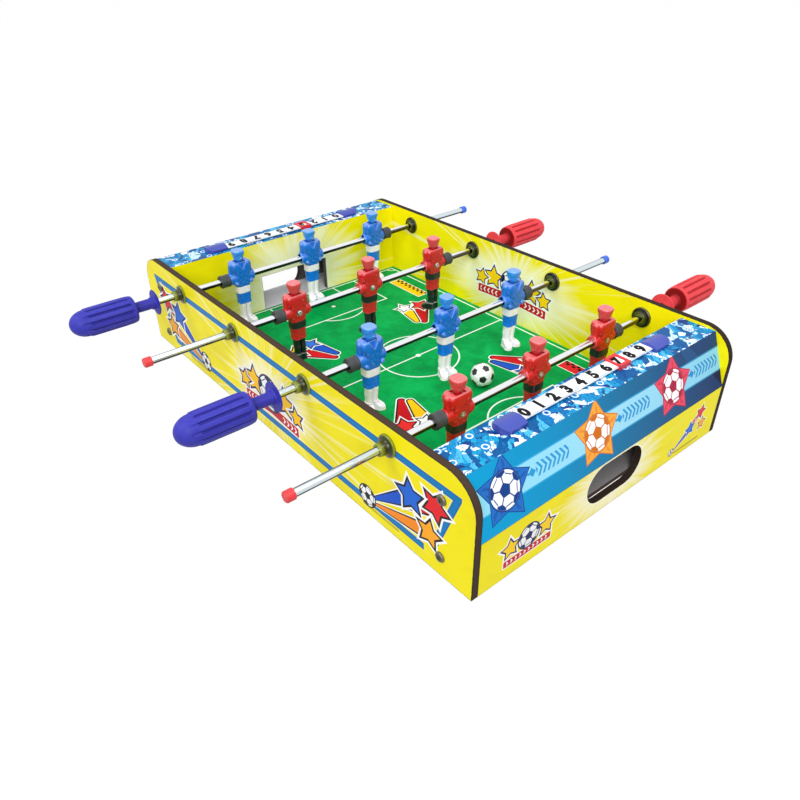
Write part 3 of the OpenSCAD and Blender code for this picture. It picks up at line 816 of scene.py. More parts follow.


# name, base, edge (worn, and a painted glint on the bushes and nuts) and deep colours,
# roughness, coat, edge wear, grain scale, specular level, painted shade colour of the handles
PLASTICS = (
    ("handle_blue", (54, 54, 166), (84, 84, 198), (32, 28, 128), 0.5, 0.02, 0.35, 2.4, 0.22,
     (30, 24, 110)),
    ("handle_red", (228, 68, 76), (244, 112, 116), (170, 22, 32), 0.5, 0.02, 0.35, 2.4, 0.22,
     (112, 0, 4)),
    ("cap_blue", (34, 90, 200), (84, 130, 226), (20, 62, 160), 0.4, 0.05, 0.35, 1.6, 0.3),
    ("cap_red", (214, 38, 44), (232, 84, 88), (170, 20, 28), 0.4, 0.05, 0.35, 1.6, 0.3),
    ("clip_plastic", (46, 60, 146), (84, 96, 186), (34, 42, 120), 0.34, 0.1, 0.35, 1.6, 0.3),
    ("marker_plastic", (204, 22, 32), (226, 66, 70), (150, 12, 22), 0.3, 0.1, 0.35, 1.6, 0.3),
    # the olive tint and pale olive edges of the bushes and nuts are painted reflection
    ("bush_plastic", (44, 48, 10), (124, 134, 26), (6, 7, 3), 0.2, 0.12, 0.9, 1.6, 0.3),
    ("nut_plastic", (22, 23, 14), (78, 84, 34), (8, 8, 5), 0.26, 0.1, 0.7, 1.6, 0.3),
    ("ring_rubber", (60, 63, 66), (98, 101, 104), (36, 38, 40), 0.5, 0.0, 0.4, 3.0, 0.35),
    ("ball_white", (246, 247, 250), (255, 255, 255), (206, 210, 216), 0.28, 0.3, 0.3, 1.6, 0.5),
    ("ball_black", (20, 21, 24), (66, 68, 74), (8, 8, 9), 0.3, 0.3, 0.35, 1.6, 0.5),
    ("digit_ink", (9, 9, 12), (20, 20, 24), (4, 4, 5), 0.5, 0.0, 0.35, 1.6, 0.1),
)
for row in PLASTICS:
    plastic(*row)

DIGIT_PITCH = 15.6      # along each score rail


def scale_plastic():
    """white rail with two thin lines and a tick between digits"""
    x, y, z, point = begin("scale_plastic")
    off_rail = abs(abs(x) - 214.5)
    fine = noise(point, 1.5)
    flow = noise(point, 0.08)
    art = Print(blend(fade(flow, 0.35, 0.7) * 0.25, rgb(248, 249, 251), rgb(222, 228, 236)))
    art.lay(abs(off_rail - 5.75) - 0.22, rgb(30, 34, 60), blur=0.2)
    half_pitch = DIGIT_PITCH / 2
    from_digit = abs((y + half_pitch) % DIGIT_PITCH - half_pitch)
    art.lay(most(from_digit * -1.0 + 7.62, 4.4 - off_rail), rgb(120, 126, 150), blur=0.2)
    finish(art.color, muladd(fine, 0.08, 0.26), fine * 0.01, coat=0.2)


def dark_screw():
    point = begin("dark_screw")[3]
    grain = noise(point, 1.2, detail=4.0, rough=0.7)
    pointiness, _ = geometry()
    color = blend(grain, rgb(34, 32, 26), rgb(62, 58, 46))
    color = blend(fade(pointiness, 0.505, 0.56) * 0.6, color, rgb(140, 134, 116))
    finish(color, muladd(grain, 0.2, 0.25), grain * 0.03, metallic=0.75)


def bright_screw():
    point = begin("bright_screw")[3]
    grain = noise(point, 1.6, detail=4.0, rough=0.7)
    color = blend(grain, rgb(190, 192, 196), rgb(232, 234, 238))
    finish(color, muladd(grain, 0.16, 0.14), grain * 0.02, metallic=1.0)


def rod_chrome():
    """plated tube: faint lines along the rod, fingerprints, and a painted dark reflection on
    its underside and by the back bush
    """
    x, y, z, point = begin("rod_chrome")
    fine = noise(vec(x * 1.0, y * 0.03, z * 1.0), 2.2)
    smudge = noise(point, 0.09, detail=3.0, rough=0.65)
    normal_x, _, normal_z = split(geometry()[1])
    # painted dark reflection: inside the cabinet on the lower third, outside only along the
    # edges
    reflection_paint_within = fade(normal_z, 0.42, 0.30)
    edge = fade(normal_x, 0.10, -0.06) * fade(normal_x, -0.74, -0.62) * (normal_z > 0.0)
    reflection_paint_outside = most(fade(normal_z, 0.02, -0.12), edge * 0.8)
    outside = fade(abs(y), SIDE_MIDDLE, 156.0)
    # painted dark violet reflection near the back bush, on all but the top of the rod
    back = fade(y, 111.0, 114.0) * (1.0 - outside)
    mirrored = reflection_paint_within * (1.0 - outside) + reflection_paint_outside * outside
    under = most(mirrored, back * fade(normal_z, 0.80, 0.62) * 0.9)
    color = blend(fine * 0.4, rgb(236, 238, 242), rgb(214, 218, 224))
    # painted grey-teal reflection on the rods outside the cabinet
    color = blend(outside * 0.8, color, rgb(204, 218, 222))
    color = blend(under * 0.93, color, blend(back, rgb(12, 12, 16), rgb(40, 24, 52)))
    finish(color, muladd(fade(smudge, 0.45, 0.75), 0.10, 0.07), fine * 0.004, metallic=1.0)


def batten_wood():
    x, y, z, _ = begin("batten_wood")
    figure = noise(vec(x * 0.5, y * 0.5, z * 0.03), 1.0, detail=4.0, rough=0.6, warp=1.2)
    fine = noise(vec(x * 3.0, y * 3.0, z * 0.15), 1.0, detail=3.0, rough=0.6)
    color = blend(fade(figure, 0.35, 0.65), rgb(214, 176, 120), rgb(176, 132, 82))
    color = blend(fade(fine, 0.5, 0.8) * 0.4, color, rgb(140, 100, 62))
    finish(color, 0.65, fine * 0.06)


scale_plastic()
dark_screw()
bright_screw()
rod_chrome()
batten_wood()


# ---------------------------------------------------------------- finishes of CAD nodes
def dress(node, material, bevel=0.0, segments=2):
    """give a CAD node its finish, and round its hard edges by `bevel` mm"""
    piece = NODES[node]
    if not piece.material_slots:
        piece.data.materials.append(MATERIALS[material])
    for slot in piece.material_slots:
        slot.material = MATERIALS[material]
    if bevel:
        modifier = piece.modifiers.new("edge_round", "BEVEL")
        modifier.width = bevel * MM
        modifier.segments = segments
        modifier.limit_method = "ANGLE"
        modifier.angle_limit = math.radians(35.0)
        modifier.use_clamp_overlap = True


dress("side_panel_front", "side_print_front", bevel=0.35)
dress("side_panel_back", "side_print_back", bevel=0.35)
dress("playfield_board", "pitch_print", bevel=0.2)
for _, name in ENDS:
    dress("end_panel_" + name, "end_print_" + name, bevel=0.3)
    dress("goal_wall_" + name, "goal_wall_print_" + name, bevel=0.3)
    dress("slant_panel_" + name, "slant_print_" + name)
    dress("score_board_" + name, "ledge_print_" + name, bevel=0.3)
    dress("score_rail_" + name, "scale_plastic", bevel=0.12)
    dress("score_clips_" + name, "clip_plastic", bevel=0.45, segments=3)
    dress("score_marker_" + name, "marker_plastic", bevel=0.4, segments=3)
dress("corner_battens", "batten_wood", bevel=0.4)
dress("panel_screws", "dark_screw", bevel=0.12)
for name in ("front", "back"):
    dress("bush_sleeves_" + name, "bush_plastic", bevel=0.25)
    dress("bush_nuts_" + name, "nut_plastic", bevel=0.25)


# ---------------------------------------------------------------- mesh kit
def make_mesh(name, verts, faces, materials, sharp=None, face_materials=None):
    """smooth mesh from mm; edges steeper than `sharp` degrees stay sharp"""
    mesh = bpy.data.meshes.new(name)
    mesh.from_pydata((np.asarray(verts) * MM).tolist(), [], faces)
    mesh.update()
    mesh.polygons.foreach_set("use_smooth", [True] * len(mesh.polygons))
    if sharp:
        mesh.set_sharp_from_angle(angle=math.radians(sharp))
    for material in materials:
        mesh.materials.append(MATERIALS[material])
    if face_materials is not None:
        mesh.polygons.foreach_set("material_index", face_materials)
    mesh.validate()
    return mesh


def place(name, mesh, body, replaced, slot, location=(0, 0, 0), turn=0.0):
    piece = bpy.data.objects.new(name, mesh)
    bpy.context.scene.collection.objects.link(piece)
    piece.matrix_world = Matrix.Translation(Vector(location) * MM) \
        @ Matrix.Rotation(turn, 4, "Z")
    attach(piece, body)
    if replaced:
        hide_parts(replaced)


def merge(parts):
    """one vertex array and face list from several (verts, faces)"""
    faces, start = [], 0
    for part_verts, part_faces in parts:
        faces += [tuple(index + start for index in face) for face in part_faces]
        start += len(part_verts)
    return np.vstack([part[0] for part in parts]), faces


def smooth_path(points, spacing):
    """smooth path through points; a point given twice stays a corner"""
    points = [np.array(point, float) for point in points]

    def gap(first, second):
        return np.linalg.norm(second - first)

    path = []
    for i in range(len(points) - 1):
        start, end = points[i], points[i + 1]
        length = gap(start, end)
        if length < 1e-9:
            continue
        before, after = start - (end - start), end + (end - start)
        if i > 0 and gap(points[i - 1], start) > 1e-9:
            before = points[i - 1]
        if i + 2 < len(points) and gap(points[i + 2], end) > 1e-9:
            after = points[i + 2]
        leave = ((start - before) / gap(before, start) * length + (end - start)) / 2
        arrive = ((after - end) / gap(end, after) * length + (end - start)) / 2
        steps = max(1, int(math.ceil(length / spacing)))
        for j in range(steps):
            t = j / steps
            path.append((2 * t**3 - 3 * t**2 + 1) * start + (t**3 - 2 * t**2 + t) * leave
                        + (-2 * t**3 + 3 * t**2) * end + (t**3 - t**2) * arrive)
    path.append(points[-1])
    return np.array(path)


def revolve(profile, count, reshape, closed=False):
    """turn (y, radius) rows about Y; reshape(y, radii, angles) changes a ring's radii.

    A radius of 0 is one point. A closed profile joins its last row to its first.
    """
    verts, rows = [], []
    angles = np.arange(count) * 2 * math.pi / count
    for y, radius in profile:
        if radius < 1e-6:
            rows.append([len(verts)])
            verts.append((0.0, y, 0.0))
            continue
        radii = reshape(y, np.full(count, float(radius)), angles)
        rows.append(list(range(len(verts), len(verts) + count)))
        verts += [(float(x), y, float(z))
                  for x, z in zip(radii * np.cos(angles), radii * np.sin(angles))]
    pairs = list(zip(rows[:-1], rows[1:]))
    if closed:
        pairs.append((rows[-1], rows[0]))
    faces = []
    for low, high in pairs:
        for i in range(count):
            j = (i + 1) % count
            if len(low) == 1:
                faces.append((low[0], high[j], high[i]))
            elif len(high) == 1:
                faces.append((low[i], low[j], high[0]))
            else:
                faces.append((low[i], low[j], high[j], high[i]))
    return np.array(verts), faces


# ---------------------------------------------------------------- handles
FLUTES = 12
GROOVE_RADIUS = GRIP_RADIUS - 1.9       # at the bottom of the grooves
FLUTE_START = 25.4
DOME = 15.6                             # length of the rounded outer end


def handle_profile():
    """(y, radius) from the bottom of the bore, over the neck and grip to the dome"""
    grip, bore, length = GRIP_RADIUS, TUBE_RADIUS + 0.03, HANDLE_LENGTH
    dome_radius = grip - 0.95
    points = [
        (length - 12.4, 0.0), (length - 12.4, 0.0), (length - 12.4, bore),
        (length - 12.4, bore), (0.5, bore), (0.5, bore),
        # inner collar
        (0.0, TUBE_RADIUS + 0.5), (0.0, TUBE_RADIUS + 0.5), (0.0, 9.0), (0.0, 12.0),
        (0.1, 12.35), (0.35, 12.6), (0.65, 12.6), (0.9, 12.35), (1.0, 12.0), (1.05, 10.0),
        # neck
        (1.15, 7.6), (1.4, 6.7), (1.9, 6.35), (3.0, 6.25), (4.6, 6.2), (5.2, 5.9),
        (5.5, 5.4), (6.2, 5.3), (10.0, 5.3), (16.0, 5.3), (20.4, 5.35), (21.3, 5.7),
        (21.7, 6.6), (21.8, 8.0), (21.9, 10.0), (22.0, 11.4), (22.25, 12.1),
        # grip
        (22.8, 12.65), (23.8, 12.95), (FLUTE_START, 13.15), (27.4, grip - 0.15),
        (31.0, grip - 0.05), (38.0, grip), (50.0, grip - 0.02),
        (length - 18.5, grip - 0.12), (length - 16.3, grip - 0.22),
        (length - 16.3, grip - 0.22), (length - 15.9, grip - 0.4),
        (length - DOME, dome_radius), (length - DOME, dome_radius)]
    for degrees in range(5, 90, 5):
        angle = math.radians(degrees)
        points.append((length - DOME + DOME * math.sin(angle),
                       dome_radius * math.cos(angle) ** 0.97))
    points.append((length, 0.0))
    path = smooth_path(points, spacing=0.55)
    path[:, 1] = np.maximum(path[:, 1], 0.0)
    # drop points closer than 0.1 mm to the one before
    keep = [0]
    for i in range(1, len(path)):
        if np.linalg.norm(path[i] - path[keep[-1]]) > 0.1 or i == len(path) - 1:
            keep.append(i)
    return path[keep]


def flute(y, radii, angles):
    turns = (angles * FLUTES / (2 * math.pi)) % 1.0
    off_groove = (turns - 0.5) * (2 * math.pi / FLUTES) * radii
    onset = np.clip((y - FLUTE_START) / 1.5, 0, 1)
    onset = onset * onset * (3 - 2 * onset)
    depth = np.exp(-np.abs(off_groove / 1.1) ** 4.0) * onset
    return radii - np.maximum(radii - GROOVE_RADIUS, 0) * depth


handle_shape = revolve(handle_profile(), 288, flute)
handle_meshes = {color: make_mesh("handle_grip_" + color, *handle_shape,
                                  ["handle_" + color], sharp=40)
                 for color in ("blue", "red")}
for i in range(1, 5):
    low, high = box_mm(f"rod_{i}_handle")
    center = (low + high) / 2
    front = low[1] < 0
    color = "blue" if front else "red"
    place(f"rod_{i}_fluted_handle", handle_meshes[color], f"rod_{i}", f"rod_{i}_handle",
          "handle_" + color, (center[0], high[1] if front else low[1], center[2]),
          math.pi if front else 0.0)


# ---------------------------------------------------------------- stop rings
def ring_shape(start, length, radius):
    """ribbed ring round the tube, between two raised lips"""
    bore = TUBE_RADIUS
    # (distance from an end, radius), from the bore over the lip to the ribbed part
    lip = [(0.5, bore + 0.06), (0.0, bore + 0.6), (0.0, radius - 1.0), (0.2, radius - 0.35),
           (0.7, radius - 0.03), (1.3, radius), (1.6, radius - 0.05), (1.9, radius - 0.28),
           (2.2, radius - 0.3)]
    points = lip + [(length - y, r) for y, r in reversed(lip)]

    def ribs(y, radii, angles):
        ribbed = 1.0 if 1.8 < y < length - 1.8 else 0.0
        return radii + ribbed * 0.05 * np.clip(np.cos(angles * 20) * 1.6, -1, 1)

    profile = []
    for (y, r), (next_y, next_r) in zip(points[:-1], points[1:]):
        steps = 5 if next_y - y > 4 else 1
        profile += [(y + (next_y - y) * j / steps, r + (next_r - r) * j / steps)
                    for j in range(steps)]
    profile.append(points[-1])
    verts, faces = revolve(profile, 264, ribs, closed=True)
    verts[:, 1] += start
    return verts, faces


for i in range(1, 5):
    name = f"rod_{i}_stop_rings"
    radius = size(name)[0] / 2
    center = middle(name)
    depths = np.array([vert.co for vert in NODES[name].data.vertices])[:, 1] * 1000.0
    rings = [ring_shape(ys.min(), ys.max() - ys.min(), radius)
             for ys in (depths[depths < 0], depths[depths > 0])]
    mesh = make_mesh(f"rod_{i}_ribbed_rings", *merge(rings), ["ring_rubber"], sharp=42)
    place(f"rod_{i}_ribbed_rings", mesh, f"rod_{i}_rings", name, "ring_rubber",
          (center[0], 0, center[2]))


# ---------------------------------------------------------------- ball
def football(radius):
    """ball of 12 pentagons and 20 hexagons with sunken seams"""
    golden = (1 + 5**0.5) / 2
    corners = []
    for i in (-1, 1):
        for j in (-1, 1):
            corners += [(0, i, j * golden), (i, j * golden, 0), (i * golden, 0, j)]
    corners = np.array(corners, float)

    def touch(i, j):
        return i != j and abs(np.linalg.norm(corners[i] - corners[j]) - 2) < 1e-6

    def third(i, j):
        return corners[i] * 2 / 3 + corners[j] / 3

    def ordered(points, axis):
        axis = axis / np.linalg.norm(axis)
        first = points[0] - axis * (points[0] @ axis)
        first /= np.linalg.norm(first)
        second = np.cross(axis, first)
        return sorted(points, key=lambda q: math.atan2(q @ second, q @ first))

    # panels: outline and material index, 1 for a pentagon
    panels = [(ordered([third(i, j) for j in range(12) if touch(i, j)], corners[i]), 1)
              for i in range(12)]
    for trio in itertools.combinations(range(12), 3):
        if all(touch(i, j) for i, j in itertools.combinations(trio, 2)):
            outline = [third(i, j) for i in trio for j in trio if i != j]
            panels.append((ordered(outline, corners[list(trio)].mean(0)), 0))

    verts, faces, kinds = [], [], []
    steps = 11
    for outline, kind in panels:
        center = np.mean(outline, 0)
        for side in range(len(outline)):
            first, second = outline[side], outline[(side + 1) % len(outline)]
            span = np.linalg.norm((first + second) / 2 - center)
            index = {}
            for s in range(steps + 1):
                for t in range(s + 1):
                    share = s / steps
                    point = center * (1 - share) + (first * (s - t) + second * t) / steps
                    to_edge = (1 - share) * span * radius / np.linalg.norm(center)
                    seam = -0.30 * math.exp(-(to_edge / 0.32) ** 1.5)
                    swell = 0.06 * min(1.0, to_edge / 2.0)
                    index[(s, t)] = len(verts)
                    direction = point / np.linalg.norm(point)
                    verts.append(direction * (radius - 0.06 + (seam + swell)))
            for s in range(steps):
                for t in range(s + 1):
                    faces.append((index[(s, t)], index[(s + 1, t)], index[(s + 1, t + 1)]))
                    kinds.append(kind)
                    if t < s:
                        faces.append((index[(s, t)], index[(s + 1, t + 1)],
                                      index[(s, t + 1)]))
                        kinds.append(kind)
    # merge the points that neighbouring triangles share
    verts = np.array(verts)
    keys = np.round(verts * 2e4 / radius).astype(np.int64)
    _, kept, merged = np.unique(keys, axis=0, return_index=True, return_inverse=True)
    merged = merged.reshape(-1)
    return verts[kept], [tuple(int(merged[i]) for i in face) for face in faces], kinds


verts, faces, kinds = football(size("ball")[0] / 2)
turned = np.array(Matrix.Rotation(math.radians(24), 3, "X")
                  @ Matrix.Rotation(math.radians(-38), 3, "Z")
                  @ Matrix.Rotation(math.radians(12), 3, "Y"))
mesh = make_mesh("ball_panels", verts @ turned.T, faces, ["ball_white", "ball_black"],
                 face_materials=kinds)
place("ball_stitched_panels", mesh, "ball", "ball", "ball_plastic", tuple(middle("ball")))

# ---------------------------------------------------------------- players
# The figure is a signed distance field about the rod's axis. It faces +X, and
# `side` is |y|, so both halves match.
player_low, player_high = box_mm("rod_1_player_b")
HEAD_TOP = player_high[2] - ROD_Z
SOLE_DEPTH = ROD_Z - player_low[2]
SLEEVE_END = player_high[1]


def join(first, second, blur):
    """smooth union"""
    share = np.clip(0.5 + 0.5 * (second - first) / blur, 0, 1)
    return second * (1 - share) + first * share - blur * share * (1 - share)


def meet(first, second, blur):
    """smooth overlap"""
    return -join(-first, -second, blur)


def rounded(x, y, half_x, half_y, power):
    """upright prism; a higher power is squarer"""
    reach = (np.abs(x / half_x) ** power + np.abs(y / half_y) ** power) ** (1 / power)
    return (reach - 1) * np.minimum(half_x, half_y)


def capsule(at, start, end, start_radius, end_radius):
    start, end = np.array(start, float), np.array(end, float)
    run = end - start
    off = [at[i] - start[i] for i in range(3)]
    t = np.clip((off[0] * run[0] + off[1] * run[1] + off[2] * run[2]) / (run @ run), 0, 1)
    distance = np.sqrt(sum((off[i] - t * run[i]) ** 2 for i in range(3)))
    return distance - (start_radius + (end_radius - start_radius) * t)


def ellipsoid(at, center, radii):
    reach = np.sqrt(sum(((at[i] - center[i]) / radii[i]) ** 2 for i in range(3)))
    return (reach - 1) * min(radii)


def by_height(z, heights, *columns):
    return [np.interp(z, heights, column) for column in columns]


def crease(phase):
    """triangle wave from 0 to 1"""
    return np.abs(phase % 1.0 - 0.5) * 2


def head_and_neck(x, y, z, side):
    half = (x, side, z)
    # narrow chin, wide flat crown: height, half width, half depth, shift forward
    wide, deep, shift = by_height(
        z, [13, 16, 18.2, 19.2, 20.2, 21.6, 23.2, 25.0, 26.8, 29.5],
        [3.0, 3.0, 3.3, 3.8, 4.4, 4.8, 5.05, 5.3, 5.5, 5.5],
        [3.1, 3.1, 3.4, 4.2, 4.7, 4.95, 5.1, 5.4, 5.6, 5.7],
        [0, 0, 0.2, 0.6, 0.5, 0.35, 0.25, 0.1, 0, 0])
    head = rounded(x - shift, y, deep, wide, 2.5)
    head = meet(head, z - (HEAD_TOP - 0.8), 1.6)
    hairline = (22.9 + x * 0.55) - z
    hair = rounded(x - shift, y, deep + 0.55, wide + 0.5, 2.7) \
        + 0.10 * np.cos(side * 2.4 + z * 0.4)
    hair = meet(meet(hair, hairline, 0.5), z - HEAD_TOP, 1.3)
    crown_half, = by_height(z, [23.8, 25.2, 26.8, 28.6, 29.5], [5.4, 5.7, 6.0, 6.15, 6.1])
    crown = meet(rounded(x + 0.1, y, crown_half - 0.1, crown_half, 2.7),
                 np.abs(z - (HEAD_TOP - 2.4)) - 2.4, 1.3)
    head = join(head, join(hair, crown, 0.7), 0.3)
    # brows, nose, eyes, mouth and ears
    head = join(head, capsule(half, (4.75, 1.0, 24.0), (4.3, 2.8, 24.0), 0.7, 0.6), 0.8)
    head = join(head, capsule((x, y, z), (5.0, 0, 23.2), (5.8, 0, 21.6), 0.5, 0.75), 0.6)
    head = meet(head, -ellipsoid(half, (5.5, 1.9, 22.9), (0.9, 0.9, 0.5)), 0.4)
    mouth = capsule((x, y, z), (5.2, -1.1, 20.2), (5.2, 1.1, 20.2), 0.24, 0.24)
    head = meet(head, -mouth, 0.3)
    head = join(head, ellipsoid(half, (0.2, 5.0, 21.9), (1.1, 0.8, 1.6)), 0.5)
    neck = meet(np.sqrt(x**2 + y**2) - 3.25, np.abs(z - 16.5) - 3.5, 0.2)
    return join(meet(head, 18.0 - z, 0.4), neck, 0.7)


def torso(x, y, z, side):
    wide, deep = by_height(z, [-10.4, -8.5, -5, 0, 5, 9, 13, 15.4, 17.0, 18.2],
                           [7.6, 7.8, 8.4, 9.0, 9.9, 10.8, 11.4, 11.3, 10.6, 9.6],
                           [6.0, 6.1, 6.5, 6.9, 7.2, 7.4, 7.3, 7.0, 6.5, 6.0])
    shirt = rounded(x - 0.1, y, deep, wide, 4.2)
    # creases of the shirt
    falling = crease((z + 0.55 * side + 0.35 * x) / 5.2)
    rising = crease((z - 0.9 * side) / 6.1 + 0.3)
    amount = np.clip((10.5 - z) / 4, 0, 1) * np.clip((z + 9.6) / 2, 0, 1)
    shirt = shirt + amount * (0.42 * (falling - 0.5) + 0.30 * (rising - 0.5))
    shirt = meet(shirt, z - 17.9, 0.8)
    shirt = meet(shirt, -10.2 - z, 0.35)
    # square collar well round the neck, and a V below it
    well = meet(np.maximum(np.abs(x) - 4.5, side - 5.3), 15.2 - z, 0.4)
    shirt = meet(shirt, -well, 0.35)
    notch = meet(np.maximum(side - (z - 10.4) * 0.6, 10.4 - z), 4.9 - x, 0.3)
    shirt = meet(shirt, -notch, 0.3)
    # groove between the arm and the body
    return shirt + 0.9 * np.exp(-((side - 8.6) / 0.7) ** 2) \
        * np.clip((12.0 - z) / 4, 0, 1) * np.clip((z + 7.0) / 3, 0, 1)


def arms(half):
    side = half[1]
    upper = meet(capsule(half, (0.0, 9.4, 13.9), (-0.6, 10.9, 3.6), 3.4, 3.1),
                 side - 12.9, 0.8)
    cuff = capsule(half, (-0.6, 10.8, 4.4), (-0.6, 11.2, 2.8), 3.35, 3.4)
    lower = capsule(half, (-1.0, 11.6, 0.2), (6.0, 8.4, -4.2), 3.0, 2.2)
    fist = ellipsoid(half, (6.4, 7.9, -4.7), (1.9, 1.8, 1.7))
    elbow = capsule(half, (-1.6, 11.6, 1.4), (-0.6, 12.0, -0.8), 3.1, 3.0)
    arm = join(join(upper, lower, 0.6), join(join(cuff, elbow, 0.5), fist, 0.6), 0.4)
    return meet(arm, side - 13.9, 0.5)


def shorts(x, y, z, side):
    wide, deep = by_height(z, [-28.8, -27.6, -24, -20, -15], [7.35, 7.25, 7.1, 7.4, 7.9],
                           [5.5, 5.35, 5.2, 5.5, 5.9])
    cloth = rounded(x, y, deep, wide, 3.4)
    cloth = cloth + 0.9 * np.exp(-(y / 0.75) ** 2) * np.clip((-18.5 - z) / 3, 0, 1)
    cloth = cloth + 0.22 * (crease((z - 0.8 * side) / 5.0) - 0.5) \
        * np.clip((-16.5 - z) / 2, 0, 1) * np.clip((z + 28.0) / 1.5, 0, 1)
    return meet(cloth, np.abs(z + 22.2) - 6.6, 0.4)


def legs(x, z, side):
    wide, deep, shift = by_height(z, [-47, -45, -41, -37, -33.5, -31.5, -29, -27],
                                  [2.85, 2.75, 2.7, 2.95, 2.85, 2.95, 3.0, 3.1],
                                  [3.9, 3.8, 3.8, 4.3, 4.2, 4.5, 4.5, 4.6],
                                  [-0.2, -0.3, -0.45, -0.55, 0.0, 0.25, 0.0, 0.0])
    leg = rounded(x - shift, side - 3.0, deep, wide, 2.5)
    leg = meet(leg, np.abs(z + 37.5) - 10.5, 0.2)
    cuff = meet(rounded(x + 0.2, side - 3.2, 4.3, 3.3, 2.5), np.abs(z + 45.3) - 0.8, 0.4)
    return meet(join(leg, cuff, 0.25), 0.2 - side, 0.25)


def boots(x, z, side):
    # toes turned out: `ahead` runs from heel to toe, `off` is the distance from that line
    turn = math.radians(21)
    ahead = x * math.cos(turn) + (side - 3.3) * math.sin(turn)
    off = np.abs(-x * math.sin(turn) + (side - 3.3) * math.cos(turn))
    wide = np.interp(ahead, [-4.5, -2, 2, 6.0, 10.0], [2.9, 3.2, 3.3, 3.8, 3.6])
    boot = meet(ahead - 10.6, -ahead - 4.7, 0.5)
    boot = meet(boot, (ahead - 2.8) * 0.43 + (z + 45.3) * 0.903, 1.4)
    boot = meet(boot, z + 45.0, 0.8)
    boot = meet(boot, off - wide, 1.6)
    corner = (ahead - 7.2) * 0.6 + off * 0.8 - 3.3
    boot = meet(boot, corner, 0.8)
    laces = 0.22 * np.clip(np.cos((ahead - 1.6) * 3.4) * 1.5, -1, 1) \
        * np.clip((ahead - 1.2) / 0.6, 0, 1) * np.clip((7.0 - ahead) / 0.6, 0, 1) \
        * np.clip((1.2 - off) / 0.3, 0, 1)
    boot = meet(boot - laces, -z - SOLE_DEPTH, 0.3)
    sole = meet(ahead - 10.9, -ahead - 5.0, 0.4)
    sole = meet(meet(sole, off - wide - 0.3, 1.2), z + 51.6, 0.15)
    sole = meet(sole, corner - 0.3, 0.8)
    sole = meet(sole, -z - SOLE_DEPTH, 0.25)
    return meet(np.minimum(boot, sole), 0.15 - side, 0.2)


def figure(x, y, z):
    side = np.abs(y)
    from_rod = np.sqrt(x**2 + z**2)
    upper = join(torso(x, y, z, side), arms((x, side, z)), 0.45)
    # sleeve round the rod
    sleeve_radius = np.interp(side, [0, 10.0, 12.6, 13.6, 14.0], [6.4, 6.4, 5.9, 5.6, 5.3])
    upper = join(upper, np.maximum(from_rod - sleeve_radius, side - SLEEVE_END), 0.5)
    body = join(head_and_neck(x, y, z, side), upper, 0.45)
    belt = meet(rounded(x - 0.05, y, 6.3, 7.95, 3.6), np.abs(z + 12.6) - 3.8, 0.6)
    body = np.minimum(body, belt)
    body = np.minimum(body, shorts(x, y, z, side))
    body = np.minimum(body, legs(x, z, side))
    body = join(body, boots(x, z, side), 0.35)
    # bore for the rod, screw seat at the back, trim of the heels, reach of the feet
    body = np.maximum(body, TUBE_RADIUS + 0.05 - from_rod)
    seat = np.maximum(np.sqrt(y**2 + z**2) - 3.0, x + 5.8)
    body = np.maximum(body, -seat)
    body = meet(body, -x * 0.766 - z * 0.643 - 37.35, 0.3)
    return meet(body, from_rod - 53.30, 0.25)


CELL_CORNERS = list(itertools.product((0, 1), repeat=3))


def surface_nets(field, origin, cell):
    """quads round the zero level: one point for each cell that the surface crosses"""
    solid = field < 0
    shape = field.shape
    count = sum(solid[i:shape[0] - 1 + i, j:shape[1] - 1 + j, k:shape[2] - 1 + k]
                .astype(np.int8) for i, j, k in CELL_CORNERS)
    active = (count > 0) & (count < 8)
    cells = np.array(np.nonzero(active)).T
    index = -np.ones(active.shape, np.int64)
    index[active] = np.arange(len(cells))
    # each point is the mean of the crossings on its cell's edges
    total = np.zeros((len(cells), 3))
    crossings = np.zeros(len(cells))
    for corner in CELL_CORNERS:
        for axis in range(3):
            if corner[axis]:
                continue
            other = list(corner)
            other[axis] = 1
            near = field[tuple((cells + corner).T)]
            far = field[tuple((cells + other).T)]
            crossed = (near < 0) != (far < 0)
            share = np.where(crossed, near / np.where(crossed, near - far, 1), 0)
            spot = np.tile(np.array(corner, float), (len(cells), 1))
            spot[:, axis] += share
            total += spot * crossed[:, None]
            crossings += crossed
    points = total / crossings[:, None] + cells
    # each crossed grid edge makes a quad from the four cells round it
    quads = []
    for axis in range(3):
        u, v = (axis + 1) % 3, (axis + 2) % 3
        lower, upper = [slice(None)] * 3, [slice(None)] * 3
        lower[axis], upper[axis] = slice(0, -1), slice(1, None)
        near, far = solid[tuple(lower)], solid[tuple(upper)]
        edges = np.array(np.nonzero(near != far)).T
        within = (edges[:, u] > 0) & (edges[:, v] > 0) \
            & (edges[:, u] < shape[u] - 1) & (edges[:, v] < shape[v] - 1)
        edges = edges[within]
        leaving = near[tuple(edges.T)]
        ring = []
        for step_u, step_v in ((-1, -1), (0, -1), (0, 0), (-1, 0)):
            around = edges.copy()
            around[:, u] += step_u
            around[:, v] += step_v
            ring.append(index[tuple(around.T)])
        ring = np.array(ring).T
        ring[~leaving] = ring[~leaving][:, ::-1]
        quads.append(ring)
    return points * cell + origin, np.vstack(quads)


